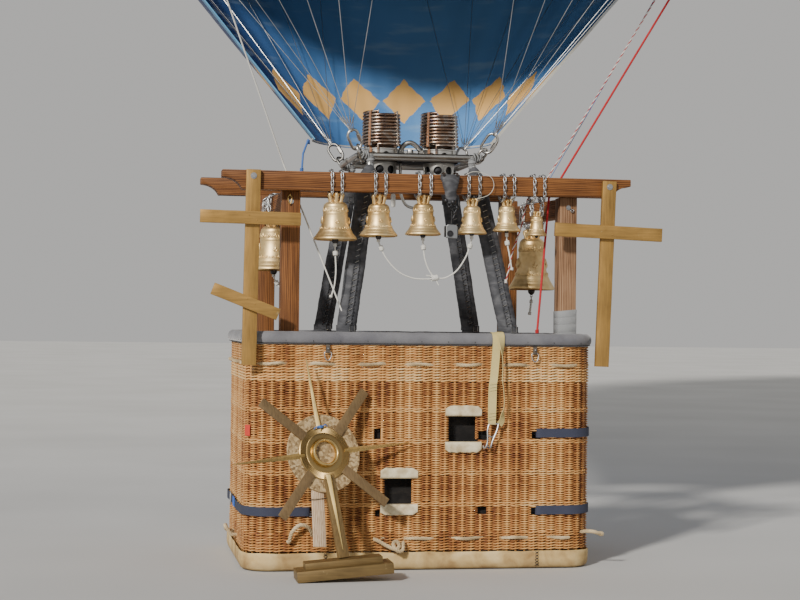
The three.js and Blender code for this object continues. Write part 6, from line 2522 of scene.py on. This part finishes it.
for name, finish, radius, turn, points in TAUT_LINES:
    line = places(points)
    line = [a.lerp(b, i / 320) for a, b in zip(line, line[1:]) for i in range(320)] + [line[-1]]
    if turn is None:
        shape = Shape().tube(line[::8], radius, 7)
    else:
        shape = Shape().tube(laid(line, turn), radius, 6)
    for end, up in ((line[0], 4), (line[-1], -12)):
        shape.wound(end + mm(0, 0, up), radius + 2.2, 18, 4, 2.4)
    shape.piece(name, finish, "white_cord", smooth=60)
print(len(TAUT_LINES), "lines")

# %% [markdown]
# A dark leather bag hangs on the front beam, and under it a flight instrument on a cord: a grey case with
# a round window and side guards. Black knobs and a thin wire loop hang beside them.

# %% Bag, instrument and wire
BAG_X = 115
GEAR_Y = -566
CASE_X = 123
KNOBS = [
    # X, Z, radius
    (96, 1775, 12), (131, 1768, 14), (150, 1742, 10), (112, 1745, 9), (139, 1716, 8),
]
KNOB_CORDS = [((96, 1775), (112, 1745), (131, 1768)), ((131, 1768), (150, 1742), (139, 1716)),
              ((112, 1745), (139, 1716), (131, 1690))]
LANYARD = [(120, -545, 1897), (122, -549, 1850), (126, -548, 1760), (127, -555, 1700), (124, -562, 1664)]
CASE = [(-27, -30), (27, -34), (31, -26), (31, 24), (24, 33), (-18, 35), (-28, 27)]
WINDOW = [(0, 0), (13, 0), (15, 1.5), (15, 4), (11, 4), (10, 2), (0, 2)]
WIRE = [(196, -546, 1902), (226, -556, 1917), (271, -560, 1914), (318, -562, 1892), (332, -562, 1853),
        (316, -562, 1816), (285, -560, 1797), (251, -556, 1789)]

rings = []
for t in (i / 28 for i in range(29)):
    half = 46 - 27 * t ** 1.2 + 2.0 * sin(9 * t)
    deep = (7 + 15 * sin(pi * min(1, 0.15 + 0.85 * t))) * (1 if t < 0.9 else 0.7)
    ring = []
    for a in circle(32):
        fold = 1 + 0.10 * uneven(3 * cos(a), 3 * sin(a), 6 * t)
        ring.append(at(BAG_X + 6 * t + half * cos(a) * fold, GEAR_Y + deep * sin(a) * fold, 1900 - 138 * t))
    rings.append(ring)
Shape().rings(rings).piece("leather_bag", bag_leather, "sleeve_leather", smooth=70)
loops, knobs = Shape(), Shape()
for dx in (-36, 34):
    strap = [(BAG_X + dx, -582, 1892), (BAG_X + dx * 0.9, -584, 1903), (BAG_X + dx * 0.8, -570, 1909),
             (BAG_X + dx * 0.8, -520, 1907)]
    loops.band(smooth(strap, 6), 12, 2, RIGHT)
loops.piece("bag_straps", tab_dark, "sleeve_leather", smooth=60)
for x, z, r in KNOBS:
    ball = [(r * sin(a), r * cos(a)) for a in (radians(20 * k) for k in range(1, 9))]
    knobs.turned([(0, r), *ball, (0, -r)], at(x, GEAR_Y, z), 14)
for points in KNOB_CORDS:
    knobs.tube(smooth([(x, GEAR_Y, z) for x, z in points], 6), 4, 7)
knobs.piece("black_knobs", black_steel, "sleeve_leather", smooth=60)

line = smooth(LANYARD, 8)
lanyard = Shape().tube(line, 2.5, 7).piece("instrument_cord", black_webbing, "sleeve_leather", smooth=60)
case = Shape().prism([(CASE_X + 0.96 * x, 1626 + z) for x, z in CASE], (GEAR_Y - 11, GEAR_Y + 7), facing)
case = case.piece("instrument_case", case_grey, "stainless", smooth=0, bevel=3)
window = Shape().turned(WINDOW, at(116, -577, 1616), 28, "Y")
for x in (CASE_X - 31, CASE_X + 31):
    window.tube([(x, GEAR_Y - 2, 1600), (x, GEAR_Y - 2, 1652)], 4)
window = window.piece("instrument_window", black_steel, "stainless", smooth=50)
free_cord(lanyard, line)

line = smooth(WIRE, 8)
wire = Shape().tube(line, 1.5, 7).piece("wire_loop", cream_tape, "white_cord", smooth=60)
free_cord(wire, line)

# %% [markdown]
# ## Studio floor
# The floor is plain and pale, with only a faint unevenness of tone so that the shadows read on it.

# %% Floor finish
f = Finish("studio_floor")
tone = f.ramp(f.noise(0.6, 2), [(0.3, (0.50, 0.50, 0.49)), (0.7, (0.56, 0.56, 0.55))])
studio_floor.data.materials.append(f.set(tone, 0.85))
print("floor finished")

# %% [markdown]
# The last cell takes the bounds of every object that is shown, the studio floor left out.

# %% Finish the scene
low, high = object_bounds()
